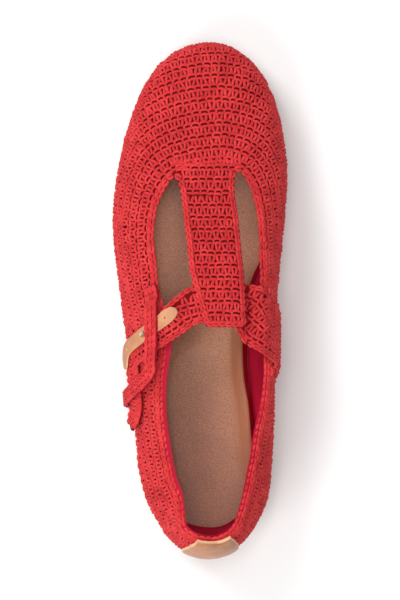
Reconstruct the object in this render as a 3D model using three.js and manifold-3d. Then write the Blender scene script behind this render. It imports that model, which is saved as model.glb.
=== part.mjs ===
// A left T-strap flat: a crocheted upper with a T-bar, an instep strap that threads under a keeper
// band on the outer side, a leather footbed and a flat rubber sole with a low heel.
// Millimetres, +Z up, +Y towards the toe, +X towards the inner side of the foot.
import * as THREE from "three";
import { mergeVertices } from "three/addons/utils/BufferGeometryUtils.js";
import Module from "manifold-3d";

const wasm = await Module();
wasm.setup();

// Driving sizes of the shoe.
const shoeLength = 256;
const ballWidth = 85;
const instepHeight = 66;
const upperWall = 2.8;
const featherInset = 3.4;
const featherAngle = 1.05;
const fitGap = 0.3;
const strapGap = 0.5;

// Sole and footbed.
const soleForefoot = 6;
const heelRise = 6;
const toeSpring = 7;
const archLift = 4.6;
const soleLedge = 1.4;
const sideGrooveDepth = 0.8;
const footbedForefoot = 3.2;
const footbedHeel = 5.2;
const footbedCup = 2.2;
const footbedEdgeSlope = 2.4;
const footbedSkive = 0.4;
const archFlankRise = 3.2;
const archFlankWidth = 10;

// Strap, keeper, leather and metal.
const strapWidth = 15.5;
const strapThickness = 2.2;
const keeperWidth = 7.6;
const keeperThickness = 2.2;
const leatherWidth = 6.6;
const leatherThickness = 0.9;
const leatherShift = 3.1;
const prongRadius = 0.75;
const heelTabThickness = 1.2;
const heelTabWidth = 28;
const heelTabDrop = 27;
const heelTabAcross = 0.034;
const heelTabProud = 0.7;

// How finely the forms are faceted.
const stationSteps = 40;
const wallSteps = 4;
const domeSteps = 11;
const bendSamples = 30;

// Sections of the last from heel (0) to toe (1), for the outer and the inner side. half is the
// half width and tuck the draw-in down to the feather edge, as shares of the ball width. wide is
// the height of the widest line as a share of the instep height. full is the exponent of the
// arch above it: 1 is a straight slope, 2 an ellipse, 4 nearly square.
const columns = "at outerHalf innerHalf outerWide innerWide outerFull innerFull outerTuck innerTuck";
const sections = table(columns, [
  [0, 0, 0, 0.46, 0.46, 2.4, 2.4, 0, 0],
  [0.023, 0.198, 0.188, 0.46, 0.46, 2.3, 2.5, 0.022, 0.022],
  [0.063, 0.295, 0.284, 0.455, 0.46, 1.5, 1.93, 0.034, 0.036],
  [0.11, 0.366, 0.346, 0.45, 0.46, 1.41, 1.61, 0.042, 0.048],
  [0.17, 0.412, 0.37, 0.43, 0.47, 1.41, 1.62, 0.045, 0.065],
  [0.24, 0.431, 0.382, 0.4, 0.49, 1.56, 1.78, 0.05, 0.095],
  [0.31, 0.444, 0.389, 0.38, 0.51, 1.68, 2.34, 0.055, 0.13],
  [0.38, 0.467, 0.391, 0.37, 0.51, 1.66, 2.85, 0.06, 0.145],
  [0.46, 0.501, 0.394, 0.34, 0.47, 1.72, 2.4, 0.055, 0.125],
  [0.54, 0.535, 0.412, 0.315, 0.41, 1.75, 2.1, 0.05, 0.085],
  [0.62, 0.562, 0.437, 0.295, 0.34, 1.8, 2.05, 0.045, 0.055],
  [0.69, 0.56, 0.456, 0.285, 0.3, 1.85, 2.1, 0.04, 0.042],
  [0.75, 0.537, 0.463, 0.28, 0.285, 1.95, 2.1, 0.038, 0.038],
  [0.81, 0.497, 0.443, 0.285, 0.285, 2.05, 2.15, 0.038, 0.038],
  [0.87, 0.44, 0.406, 0.3, 0.3, 2.15, 2.2, 0.038, 0.038],
  [0.92, 0.372, 0.343, 0.32, 0.32, 2.2, 2.2, 0.034, 0.034],
  [0.96, 0.28, 0.26, 0.335, 0.335, 2.2, 2.2, 0.029, 0.029],
  [0.987, 0.165, 0.155, 0.345, 0.345, 2.2, 2.2, 0.018, 0.018],
  [1, 0, 0, 0.35, 0.35, 2.2, 2.2, 0, 0],
]);

// The crest, where both sides of an arch meet. Height is a share of the instep height and
// across a share of the ball width, towards the inner side.
const crest = table("at height across", [
  [0.12, 1.06, 0.02],
  [0.3, 1.05, 0.03],
  [0.4, 1.035, 0.05],
  [0.46, 1.01, 0.06],
  [0.52, 0.965, 0.055],
  [0.58, 0.9, 0.045],
  [0.64, 0.82, 0.03],
  [0.7, 0.74, 0.01],
  [0.76, 0.675, 0],
  [0.82, 0.62, 0],
  [0.88, 0.575, 0],
]);
const crestHeel = 0.13;
const crestToe = 0.88;

// The collar seen from the side: height of the topline as a share of the instep height.
const topline = table("at height", [
  [-0.1, 0.93],
  [0.03, 0.915],
  [0.09, 0.855],
  [0.17, 0.8],
  [0.26, 0.79],
  [0.34, 0.81],
  [0.42, 0.84],
  [0.48, 0.85],
  [0.54, 0.85],
]);

// Edges seen from above, from the heel end forwards. at is a share of the length and across a
// share of the ball width from the centre line, inner side positive.
const outerWindowEdge = table("at across", [
  [0.44, -0.262],
  [0.48, -0.274],
  [0.505, -0.294],
  [0.53, -0.311],
  [0.565, -0.318],
  [0.605, -0.333],
  [0.645, -0.33],
  [0.668, -0.318],
  [0.688, -0.302],
  [0.708, -0.271],
  [0.726, -0.238],
  [0.736, -0.209],
  [0.73, -0.178],
]);
const innerWindowEdge = table("at across", [
  [0.44, 0.322],
  [0.48, 0.322],
  [0.52, 0.33],
  [0.548, 0.332],
  [0.585, 0.326],
  [0.62, 0.321],
  [0.655, 0.31],
  [0.686, 0.288],
  [0.716, 0.258],
  [0.736, 0.222],
  [0.749, 0.183],
  [0.742, 0.157],
]);
const barOuterEdge = table("at across", [
  [0.446, -0.01],
  [0.5, -0.06],
  [0.55, -0.103],
  [0.605, -0.121],
  [0.66, -0.142],
  [0.706, -0.159],
  [0.73, -0.178],
]);
const barInnerEdge = table("at across", [
  [0.446, 0.222],
  [0.5, 0.216],
  [0.55, 0.208],
  [0.605, 0.189],
  [0.66, 0.172],
  [0.706, 0.152],
  [0.742, 0.157],
]);

// The strap from its sewn end on the inner wall, over the instep under the T-bar, under the
// keeper and back along the outer wall to its tip. Width is a share of the strap width.
const strapRoute = table("at across up width", [
  [0.41, 0.378, 0.47, 1.55],
  [0.418, 0.368, 0.62, 1.7],
  [0.431, 0.348, 0.745, 1.95],
  [0.45, 0.312, 0.838, 2],
  [0.489, 0.224, 0.93, 1.5],
  [0.498, 0.08, 0.983, 1.45],
  [0.493, -0.06, 0.959, 1.35],
  [0.473, -0.152, 0.918, 1.05],
  [0.448, -0.222, 0.868, 1],
  [0.414, -0.35, 0.7, 1],
  [0.385, -0.435, 0.54, 1],
  [0.345, -0.438, 0.54, 1],
  [0.3, -0.422, 0.56, 0.98],
  [0.245, -0.43, 0.52, 0.9],
]);
// Where the strap dips under the T-bar, from the lips of both openings to the bar's two edges.
const underBarGap = 0.8;
const dipAcross = { outerLip: -0.252, outerEdge: -0.1, innerEdge: 0.235, innerLip: 0.304 };
const strapTipLength = 12;
const strapTipShare = 0.3;
const strapTipLift = 2;
const strapTipFrom = 0.915;

// The leather facing of the strap, as shares of the strap's own route.
const leatherFrom = 0.5;
const leatherTo = 0.8;
const prongAt = 0.637;
const leatherTaper = 0.14;

// The keeper band along the topline and then down and back over the strap.
const overStrap = strapGap + strapThickness + fitGap;
const overLeather = overStrap + leatherThickness + fitGap;
const keeperRoute = table("at across up level", [
  [0.525, -0.33, 0.755, fitGap],
  [0.506, -0.314, 0.777, fitGap],
  [0.486, -0.301, 0.79, overStrap],
  [0.466, -0.292, 0.8, overLeather],
  [0.44, -0.288, 0.803, overLeather],
  [0.385, -0.288, 0.795, overLeather],
  [0.36, -0.295, 0.775, overStrap],
  [0.34, -0.336, 0.7, overStrap],
  [0.322, -0.39, 0.575, overStrap],
  [0.31, -0.425, 0.45, overStrap],
  [0.304, -0.433, 0.33, overStrap],
  [0.3, -0.425, 0.23, fitGap],
]);

const heelEnd = 0.26;
const archEnd = 0.56;
const ballEnd = 0.76;

// Rows of numbers under named columns.
function table(names, rows) {
  const keys = names.split(" ");
  return rows.map((row) => Object.fromEntries(keys.map((key, i) => [key, row[i]])));
}

// Smooth interpolation of one column of a table that is ordered by its first column.
function smooth(rows, column, x, key = "at") {
  const last = rows.length - 1;
  let i = rows.findIndex((row) => row[key] > x) - 1;
  if (i === -2) i = last - 1;
  if (i < 0) i = 0;
  const [a, b] = [rows[i], rows[i + 1]];
  const slope = (p, q) => (q[column] - p[column]) / (q[key] - p[key]);
  const here = slope(a, b);
  const before = i > 0 ? (here + slope(rows[i - 1], a)) / 2 : here;
  const after = i + 1 < last ? (here + slope(b, rows[i + 2])) / 2 : here;
  const span = b[key] - a[key];
  const s = THREE.MathUtils.clamp((x - a[key]) / span, 0, 1);
  const h = s * s * (3 - 2 * s);
  return (
    a[column] * (1 - h) +
    b[column] * h +
    span * (before * s * (1 - s) * (1 - s) - after * s * s * (1 - s))
  );
}

// Interpolation that never leaves the two values it lies between.
function ease(rows, column, x, key = "at") {
  const i = rows.findIndex((row) => row[key] > x);
  if (i < 0) return rows[rows.length - 1][column];
  if (i === 0) return rows[0][column];
  const share = THREE.MathUtils.smoothstep(x, rows[i - 1][key], rows[i][key]);
  return THREE.MathUtils.lerp(rows[i - 1][column], rows[i][column], share);
}

// A station runs from 0 at the heel to 1 at the toe, closer together at both round ends.
const along = (station) => (1 - Math.cos(Math.PI * station)) / 2;
const stationOf = (at) => Math.acos(1 - 2 * THREE.MathUtils.clamp(at, 0, 1)) / Math.PI;
const sectionRows = sections.map((row) => ({ ...row, station: stationOf(row.at) }));
const section = (column, station) => smooth(sectionRows, column, station, "station");
const ramp = (from, to, x) => THREE.MathUtils.smoothstep(x, from, to);

// Underside of the sole at a share of the length, and its top edge, on which the upper stands.
function soleBottom(at) {
  const heelBreast = ramp(heelEnd, heelEnd + 0.012, at);
  const arch = archLift * heelBreast * (1 - ramp(heelEnd + 0.06, archEnd, at));
  return arch + toeSpring * ramp(ballEnd, 1.12, at) * 1.35;
}
function seatHeight(at) {
  const heel = heelRise * (1 - ramp(0.24, 0.66, at));
  return soleForefoot + heel + toeSpring * ramp(ballEnd - 0.06, 1.1, at);
}

// The outer surface of the upper. Girth runs round an arch: -1 at the outer feather edge, 0 at
// the outer widest line, 1 at the crest, 2 at the inner widest line and 3 at the inner feather.
function surface(station, girth) {
  const side = girth <= 1 ? "outer" : "inner";
  const sign = girth <= 1 ? -1 : 1;
  const rise = girth <= 1 ? girth : 2 - girth;
  const at = along(station);
  const wide = new THREE.Vector3(
    sign * ballWidth * section(side + "Half", station),
    at * shoeLength,
    instepHeight * section(side + "Wide", station),
  );
  if (rise < 0) {
    const drop = -rise * featherAngle;
    const inset = (1 - Math.cos(drop)) / (1 - Math.cos(featherAngle));
    const middle = shoeLength / 2;
    wide.x -= sign * ballWidth * inset * section(side + "Tuck", station);
    wide.y = middle + (wide.y - middle) * (1 - (inset * featherInset) / middle);
    wide.z = THREE.MathUtils.lerp(wide.z, seatHeight(at), Math.sin(drop) / Math.sin(featherAngle));
    return wide;
  }
  const crestAt = THREE.MathUtils.lerp(crestHeel, crestToe, at);
  const top = new THREE.Vector3(
    ballWidth * smooth(crest, "across", crestAt),
    shoeLength * crestAt,
    instepHeight * smooth(crest, "height", crestAt),
  );
  const fullness = section(side + "Full", station);
  const angle = rise * Math.PI * 0.5;
  const c = Math.max(Math.cos(angle), 0);
  const s = Math.max(Math.sin(angle), 0);
  const reach = Math.pow(Math.pow(c, fullness) + Math.pow(s, fullness), -1 / fullness);
  const out = reach * c;
  return new THREE.Vector3(
    THREE.MathUtils.lerp(top.x, wide.x, out),
    THREE.MathUtils.lerp(top.y, wide.y, out),
    THREE.MathUtils.lerp(wide.z, top.z, reach * s),
  );
}

// Outward normal of the outer surface, even at the crest and at both round ends.
function normalAt(station, girth) {
  const probe = (u, g) => {
    const du = 0.004;
    const dg = 0.02;
    const alongLine = surface(Math.min(u + du, 1), g).sub(surface(Math.max(u - du, 0), g));
    const roundLine = surface(u, Math.min(g + dg, 3)).sub(surface(u, Math.max(g - dg, -1)));
    return roundLine.cross(alongLine).normalize();
  };
  const lean = 0.03;
  if (station < 0.001 || station > 0.999) {
    const inside = THREE.MathUtils.clamp(station, 0.002, 0.998);
    const other = 2 - girth;
    return probe(inside, girth).add(probe(inside, other)).normalize();
  }
  if (Math.abs(girth - 1) < lean) {
    return probe(station, 1 - lean).add(probe(station, 1 + lean)).normalize();
  }
  return probe(station, girth);
}

// Manifold solid of a list of points and triangles, and back to a three.js geometry.
function solidOf(points, triangles) {
  const loose = new THREE.BufferGeometry();
  const flat = triangles.flatMap((t) => t.flatMap((i) => points[i].toArray()));
  loose.setAttribute("position", new THREE.Float32BufferAttribute(flat, 3));
  return solidOfGeometry(loose);
}
function solidOfGeometry(geometry) {
  const bare = geometry.index ? geometry.toNonIndexed() : geometry.clone();
  bare.deleteAttribute("normal");
  bare.deleteAttribute("uv");
  const merged = mergeVertices(bare, 1e-3);
  const kept = [];
  for (let i = 0; i < merged.index.count; i += 3) {
    const [a, b, c] = [0, 1, 2].map((k) => merged.index.getX(i + k));
    if (a !== b && b !== c && a !== c) kept.push(a, b, c);
  }
  const vertProperties = merged.attributes.position.array;
  const mesh = new wasm.Mesh({ numProp: 3, vertProperties, triVerts: new Uint32Array(kept) });
  return new wasm.Manifold(mesh);
}
function geometryOf(solid) {
  const mesh = solid.getMesh();
  const geometry = new THREE.BufferGeometry();
  const points = new Float32Array(mesh.numVert * 3);
  for (let i = 0; i < mesh.numVert; i++) {
    const from = i * mesh.numProp;
    points.set(mesh.vertProperties.subarray(from, from + 3), i * 3);
  }
  geometry.setAttribute("position", new THREE.BufferAttribute(points, 3));
  geometry.setIndex(new THREE.BufferAttribute(mesh.triVerts, 1));
  geometry.computeVertexNormals();
  return geometry;
}

// Closed loft of rings with the same number of points, whose first and last rings may be flat
// pieces or single lines.
function loft(rings) {
  const count = rings[0].length;
  const triangles = [];
  for (let i = 0; i + 1 < rings.length; i++) {
    for (let j = 0; j < count; j++) {
      const next = (j + 1) % count;
      const [a, b] = [i * count + j, i * count + next];
      const [c, d] = [(i + 1) * count + next, (i + 1) * count + j];
      triangles.push([a, b, c], [a, c, d]);
    }
  }
  const end = (rings.length - 1) * count;
  for (let j = 1; j + 1 < count; j++) {
    triangles.push([0, j + 1, j], [end, end + j, end + j + 1]);
  }
  const solid = solidOf(rings.flat(), triangles);
  if (solid.volume() >= 0) return solid;
  return solidOf(
    rings.flat(),
    triangles.map((t) => t.toReversed()),
  );
}

// The whole last as a closed form, grown or shrunk by an offset along the surface's normal. A
// skirt carries its bottom below the feather edge, so that taking it away opens the underside.
function lastForm(offset, skirt = 0) {
  const girths = [];
  for (let j = -wallSteps; j <= 0; j++) girths.push(j / wallSteps);
  for (let j = 1; j < domeSteps * 2; j++) girths.push(j / domeSteps);
  for (let j = 0; j <= wallSteps; j++) girths.push(2 + j / wallSteps);
  const rings = [];
  for (let i = 0; i <= stationSteps; i++) {
    const station = i / stationSteps;
    const ring = girths.map((girth) =>
      surface(station, girth).addScaledVector(normalAt(station, girth), offset),
    );
    if (skirt) {
      const down = new THREE.Vector3(0, 0, -skirt);
      ring.unshift(ring[0].clone().add(down));
      ring.push(ring[ring.length - 1].clone().add(down));
    }
    rings.push(ring);
  }
  return loft(rings);
}

// Straight prism of an outline in plan, side or rear view.
function prism(outline, depth) {
  const shape = new THREE.Shape(outline.map(([x, y]) => new THREE.Vector2(x, y)));
  return new THREE.ExtrudeGeometry(shape, { depth, bevelEnabled: false });
}
const planPrism = (outline, low, high) =>
  solidOfGeometry(prism(outline, high - low).translate(0, 0, low));
const sidePrism = (outline, halfWidth) => {
  const geometry = prism(outline, halfWidth * 2);
  geometry.rotateY(Math.PI / 2).rotateX(Math.PI / 2);
  return solidOfGeometry(geometry.translate(-halfWidth, 0, 0));
};

const edgePoints = (rows, steps) => {
  const curve = new THREE.SplineCurve(
    rows.map((row) => new THREE.Vector2(row.across * ballWidth, row.at * shoeLength)),
  );
  return curve.getPoints(steps).map((p) => [p.x, p.y]);
};

// Everything above the topline and behind the instep.
function collarCutter(grow = 0) {
  const high = instepHeight * 1.6;
  const profile = [];
  const steps = 18;
  const [from, to] = [-0.1, 0.54];
  for (let i = 0; i <= steps; i++) {
    const at = THREE.MathUtils.lerp(from, to, i / steps);
    profile.push([at * shoeLength, instepHeight * smooth(topline, "height", at) + grow]);
  }
  profile.push([to * shoeLength, high], [from * shoeLength, high]);
  return sidePrism(profile, ballWidth);
}

// The T-bar's plan outline, and the opening round it from the vamp back to the collar.
const barOutline = () => [
  ...edgePoints(barOuterEdge, 14),
  ...edgePoints(barInnerEdge, 14).reverse(),
];
function openingSolid() {
  const outer = edgePoints(outerWindowEdge, 30);
  const inner = edgePoints(innerWindowEdge, 28);
  const windows = planPrism([...outer, ...inner.toReversed()], 0.4 * instepHeight, instepHeight * 2);
  const bar = planPrism(barOutline(), 0, instepHeight * 2.1);
  return windows.add(collarCutter()).subtract(bar);
}

function makeUpper() {
  const outerForm = lastForm(0);
  const innerForm = lastForm(-upperWall, soleForefoot);
  const shell = outerForm.subtract(innerForm).subtract(openingSolid());
  return largest(shell);
}
function largest(solid) {
  const bodies = solid.decompose();
  return bodies.reduce((best, body) => (body.volume() > best.volume() ? body : best));
}

// Nearest place of the outer surface to a point, as [station, girth].
function nearest(point, start) {
  let best = start;
  let step = start ? 0.01 : 0.04;
  const distance = ([u, g]) => surface(u, g).distanceToSquared(point);
  if (!start) {
    let least = Infinity;
    for (let u = 0.04; u < 0.97; u += 0.02) {
      for (let g = -0.9; g < 2.91; g += 0.1) {
        const d = distance([u, g]);
        if (d < least) [least, best] = [d, [u, g]];
      }
    }
  }
  let least = distance(best);
  while (step > 1e-5) {
    let moved = false;
    for (const [du, dg] of [[1, 0], [-1, 0], [0, 4], [0, -4], [1, 4], [-1, -4], [1, -4], [-1, 4]]) {
      const trial = [best[0] + du * step, best[1] + dg * step];
      const d = distance(trial);
      if (d < least) [least, best, moved] = [d, trial, true];
    }
    if (!moved) step /= 2;
  }
  return best;
}

// A route over the outer surface: evenly spaced places with their position, normal and heading.
function routeOf(rows, steps) {
  const curve = new THREE.CatmullRomCurve3(
    rows.map((r) => new THREE.Vector3(r.across * ballWidth, r.at * shoeLength, r.up * instepHeight)),
    false,
    "centripetal",
  );
  const knots = rows.map((row, i) => ({ ...row, key: i / (rows.length - 1) }));
  const places = [];
  for (let i = 0; i <= steps; i++) {
    const share = i / steps;
    const place = nearest(curve.getPointAt(share));
    const key = curve.getUtoTmapping(share);
    places.push({ share, key, place, centre: surface(...place), normal: normalAt(...place) });
  }
  places.forEach((p, i) => {
    const ahead = places[Math.min(i + 1, steps)].centre;
    const behind = places[Math.max(i - 1, 0)].centre;
    p.heading = ahead.clone().sub(behind).normalize();
    if ("level" in rows[0]) p.level = ease(knots, "level", p.key, "key");
    if ("width" in rows[0]) p.width = smooth(knots, "width", p.key, "key");
  });
  places.length3d = places.reduce((sum, p, i) => (i ? sum + p.centre.distanceTo(places[i - 1].centre) : 0), 0);
  return places;
}

// Walks sideways over the surface from a place on a route.
function stepAside(place, distance) {
  const pieces = 3;
  let here = place.place;
  let centre = place.centre;
  let normal = place.normal;
  let side = normal.clone().cross(place.heading).normalize();
  for (let i = 0; i < pieces && distance !== 0; i++) {
    here = nearest(centre.clone().addScaledVector(side, distance / pieces), here);
    centre = surface(...here);
    normal = normalAt(...here);
    side = side.addScaledVector(normal, -side.dot(normal)).normalize();
  }
  return { centre, normal, level: place.level, share: place.share };
}

// A band that lies on the surface. half gives its half width at a place of its route, and low
// and high its underside and top at a spot beside that place. Its long edges are rounded.
function band(places, half, low, high, shift = 0, shares = [-1, -0.86, -0.4, 0, 0.4, 0.86, 1]) {
  const pinch = shares.map((share) => (Math.abs(share) === 1 ? 0.34 : 0));
  const rings = places.map((p) => {
    const spots = shares.map((share) => stepAside(p, shift + share * half(p)));
    const lift = (spot, share) => {
      const level = THREE.MathUtils.lerp(low(spot), high(spot), share);
      return spot.centre.clone().addScaledVector(spot.normal, level);
    };
    const under = spots.map((spot, k) => lift(spot, pinch[k]));
    const over = spots.map((spot, k) => lift(spot, 1 - pinch[k]));
    return [...under, ...over.toReversed()];
  });
  return loft(rings);
}

const strapPlaces = routeOf(strapRoute, bendSamples + 10);
const strapHalf = (p) => {
  const left = (1 - p.share) * strapPlaces.length3d;
  const tip = Math.min(1, left / strapTipLength);
  const round = Math.sqrt(1 - (1 - tip) * (1 - tip));
  return (strapWidth / 2) * p.width * THREE.MathUtils.lerp(strapTipShare, 1, round);
};
function strapLow(spot) {
  const across = spot.centre.x / ballWidth;
  const { outerLip, outerEdge, innerEdge, innerLip } = dipAcross;
  const dip = ramp(outerLip, outerEdge, across) * (1 - ramp(innerEdge, innerLip, across));
  const level = THREE.MathUtils.lerp(strapGap, -upperWall - underBarGap - strapThickness, dip);
  return level + strapTipLift * ramp(strapTipFrom, 1, spot.share);
}
const strapHigh = (spot) => strapLow(spot) + strapThickness;

function makeStrap() {
  const shares = [-1, -0.88, -0.66, -0.4, 0, 0.4, 0.66, 0.88, 1];
  return band(strapPlaces, strapHalf, strapLow, strapHigh, 0, shares);
}

function makeLeather() {
  const inside = strapPlaces.filter((p) => p.share >= leatherFrom && p.share <= leatherTo);
  const [first, last] = [inside[0].share, inside[inside.length - 1].share];
  const half = (p) => {
    const toEnd = Math.min(p.share - first, last - p.share) / (leatherTaper * (last - first));
    const near = THREE.MathUtils.clamp(toEnd, 0, 1);
    const round = Math.sqrt(1 - (1 - near) * (1 - near));
    return (leatherWidth / 2) * THREE.MathUtils.lerp(0.25, 1, round);
  };
  const low = (spot) => strapHigh(spot) + fitGap;
  return band(inside, half, low, (spot) => low(spot) + leatherThickness, -leatherShift);
}

const keeperPlaces = routeOf(keeperRoute, bendSamples);

function makeKeeper() {
  const half = () => keeperWidth / 2;
  return band(keeperPlaces, half, (spot) => spot.level, (spot) => spot.level + keeperThickness);
}

// Sole: rings across the foot, with a small ledge, a groove round its side and a moulded heel.
function makeSole() {
  const ats = [];
  for (let i = 0; i <= stationSteps; i++) ats.push(along(i / stationSteps));
  for (const step of [0, 0.004, 0.008, 0.012]) ats.push(heelEnd + step);
  ats.sort((a, b) => a - b);
  const spread = (at, side, outset) => {
    const edge = surface(stationOf(at), side < 0 ? -1 : 3);
    const middle = shoeLength / 2;
    const x = edge.x * (1 + outset / (ballWidth / 2));
    return [x, middle + (edge.y - middle) * (1 + outset / middle)];
  };
  const rings = ats.map((at) => {
    const [bottom, top] = [soleBottom(at), seatHeight(at) - fitGap];
    const thick = top - bottom;
    const levels = [
      [soleLedge - 1.6, 0],
      [soleLedge - 0.3, 0.16],
      [soleLedge, 0.3],
      [soleLedge, 0.52],
      [soleLedge - sideGrooveDepth, 0.6],
      [soleLedge - sideGrooveDepth, 0.68],
      [soleLedge, 0.76],
      [soleLedge, 1],
    ];
    const edge = (side) =>
      levels.map(([outset, share]) => {
        const [x, y] = spread(at, side, outset);
        return new THREE.Vector3(x, y, bottom + thick * share);
      });
    return [...edge(-1), ...edge(1).reverse()];
  });
  return loft(rings);
}

// Plan of the footbed's free edge on the inner side, where the lining shows beside it.
const footbedInnerEdge = table("at across", [
  [0.13, 0.3],
  [0.17, 0.265],
  [0.221, 0.249],
  [0.296, 0.229],
  [0.345, 0.204],
  [0.417, 0.197],
  [0.5, 0.222],
  [0.54, 0.25],
  [0.595, 0.335],
  [0.65, 0.45],
]);

// The footbed's round rear end, clear of the back of the heel, where the lining shows behind it.
// rear and forward are shares of the length and the others shares of the ball width.
const footbedEnd = { rear: 0.053, forward: 0.176, middle: 0.018, inner: 0.26, outer: 0.4 };
function behindFootbed() {
  const { rear, forward, middle, inner, outer } = footbedEnd;
  const curve = [];
  const steps = 16;
  for (let i = 0; i <= steps; i++) {
    const turn = (Math.PI * i) / steps;
    const reach = Math.cos(turn) * (i * 2 < steps ? inner : outer);
    const at = THREE.MathUtils.lerp(forward, rear, Math.sin(turn));
    curve.push([ballWidth * (middle + reach), shoeLength * at]);
  }
  const [front, back] = [shoeLength * forward, -shoeLength * forward];
  const outline = [
    [ballWidth, front],
    ...curve,
    [-ballWidth, front],
    [-ballWidth, back],
    [ballWidth, back],
  ];
  return planPrism(outline, 0, instepHeight);
}

// Footbed: lies on the sole inside the upper, thicker under the heel, its inner flank raised
// along the arch and its heel cupped. A wide slab is cut to the space that the upper leaves.
function makeFootbed() {
  const clear = upperWall + fitGap;
  const rings = [];
  for (let i = 0; i <= stationSteps; i++) {
    const at = THREE.MathUtils.lerp(-0.01, 1.01, i / stationSteps);
    const station = stationOf(at);
    const outer = Math.min(surface(station, 0).x, -6) - upperWall;
    const inner = Math.max(surface(station, 2).x, 6) + upperWall;
    const base = seatHeight(THREE.MathUtils.clamp(at, 0, 1));
    const thick = THREE.MathUtils.lerp(footbedHeel, footbedForefoot, ramp(0.2, 0.6, at));
    const arch = archFlankRise * ramp(0.12, 0.26, at) * (1 - ramp(0.38, 0.54, at));
    const cup = footbedCup * (1 - ramp(0.05, 0.2, at));
    const end = footbedCup * (1 - ramp(0, 0.06, at));
    const free = ballWidth * smooth(footbedInnerEdge, "across", at);
    const edge = Math.min(free, inner - footbedEdgeSlope - 1);
    const flat = [0, 0.08, 0.2, 0.36, 0.52, 0.66, 0.78, 0.89, 1];
    const spots = flat.map((share) => THREE.MathUtils.lerp(outer, edge, share));
    spots.push(edge + footbedEdgeSlope / 2, edge + footbedEdgeSlope, inner);
    const ring = spots.map((x) => {
      const share = (x - outer) / (inner - outer);
      const flank = arch * (1 - ramp(0, archFlankWidth, edge - x));
      const rim = cup * Math.pow(Math.abs(share * 2 - 1), 3);
      const high = thick + flank + Math.max(rim, end);
      const skive = ramp(0, footbedEdgeSlope, x - edge);
      return new THREE.Vector3(x, at * shoeLength, base + THREE.MathUtils.lerp(high, footbedSkive, skive));
    });
    const corner = (x) => new THREE.Vector3(x, at * shoeLength, base);
    rings.push([corner(outer), ...ring, corner(inner)]);
  }
  const bed = loft(rings).intersect(lastForm(-clear, soleForefoot));
  return largest(bed.subtract(behindFootbed()));
}

// Heel tab: a leather patch on the back of the heel, its cut edge just proud of the collar's.
function makeHeelTab() {
  const patch = lastForm(fitGap + heelTabThickness).subtract(lastForm(fitGap));
  const top = instepHeight * smooth(topline, "height", 0.03);
  const [low, high] = [top - heelTabDrop, top + heelTabProud];
  const half = heelTabWidth / 2;
  const halfOutline = table("out up", [
    [0.54, 1.1],
    [0.58, 0.97],
    [0.8, 0.76],
    [0.97, 0.5],
    [1, 0.34],
    [0.92, 0.16],
    [0.72, 0.04],
    [0.45, 0],
  ]);
  const corner = (side) => (row) => [
    ballWidth * heelTabAcross * row.up + side * half * row.out,
    low + (high - low) * row.up,
  ];
  const outline = [...halfOutline.map(corner(-1)), ...halfOutline.map(corner(1)).reverse()];
  const depth = shoeLength * 0.2;
  const rear = prism(outline, depth * 2).rotateX(Math.PI / 2);
  const slab = solidOfGeometry(rear.translate(0, depth, 0));
  return largest(patch.intersect(slab).subtract(collarCutter(heelTabProud)));
}

// The buckle's prong: up out of its hole in the leather, then flat over it to the keeper.
function makeProng() {
  const p = strapPlaces.find((place) => place.share >= prongAt);
  const spot = stepAside(p, -leatherShift);
  const level = strapHigh(spot) + fitGap + leatherThickness + fitGap + prongRadius;
  const side = p.normal.clone().cross(p.heading);
  const crossing = keeperPlaces.reduce((best, place) => {
    const offLine = (q) => Math.abs(q.centre.clone().sub(spot.centre).dot(side));
    return offLine(place) < offLine(best) ? place : best;
  });
  const slant = Math.abs(crossing.heading.dot(side));
  const toBand = spot.centre.distanceTo(crossing.centre) - keeperWidth / 2 / slant;
  const prongLength = toBand - fitGap * 2 - prongRadius;
  const place = (back, height) =>
    spot.centre.clone().addScaledVector(p.heading, back).addScaledVector(spot.normal, height);
  const curve = new THREE.CatmullRomCurve3([
    place(0, strapHigh(spot) - strapThickness * 0.6),
    place(0, level - prongRadius * 1.2),
    place(-prongRadius, level),
    place(-prongLength * 0.55, level + prongRadius * 0.25),
    place(-prongLength, level),
  ]);
  const turns = Array.from({ length: 8 }, (_, i) => (i / 8) * Math.PI * 2);
  const round = new THREE.Shape(
    turns.map((t) => new THREE.Vector2(Math.cos(t) * prongRadius, Math.sin(t) * prongRadius)),
  );
  const along = { steps: 12, extrudePath: curve, bevelEnabled: false };
  const wide = prongRadius + fitGap;
  const hole = new THREE.CylinderGeometry(wide, wide, strapThickness * 6, 10);
  const up = new THREE.Vector3(0, 1, 0);
  hole.applyQuaternion(new THREE.Quaternion().setFromUnitVectors(up, spot.normal));
  const middle = place(0, strapHigh(spot));
  hole.translate(middle.x, middle.y, middle.z);
  const prong = solidOfGeometry(new THREE.ExtrudeGeometry(round, along));
  return { prong, hole: solidOfGeometry(hole), prongLength };
}

const finishes = {
  crochet: new THREE.MeshStandardMaterial({ color: 0xc8202c, roughness: 0.85, metalness: 0 }),
  tanLeather: new THREE.MeshStandardMaterial({ color: 0xd9a066, roughness: 0.6, metalness: 0 }),
  footbedLeather: new THREE.MeshStandardMaterial({ color: 0x9a6648, roughness: 0.55, metalness: 0 }),
  soleRubber: new THREE.MeshStandardMaterial({ color: 0xb08a5c, roughness: 0.8, metalness: 0 }),
  steel: new THREE.MeshStandardMaterial({ color: 0xb9b4a8, roughness: 0.35, metalness: 1 }),
};

const shoe = new THREE.Group();
function addPiece(name, solid, material) {
  const mesh = new THREE.Mesh(geometryOf(solid), material);
  mesh.name = name;
  shoe.add(mesh);
}

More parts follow.
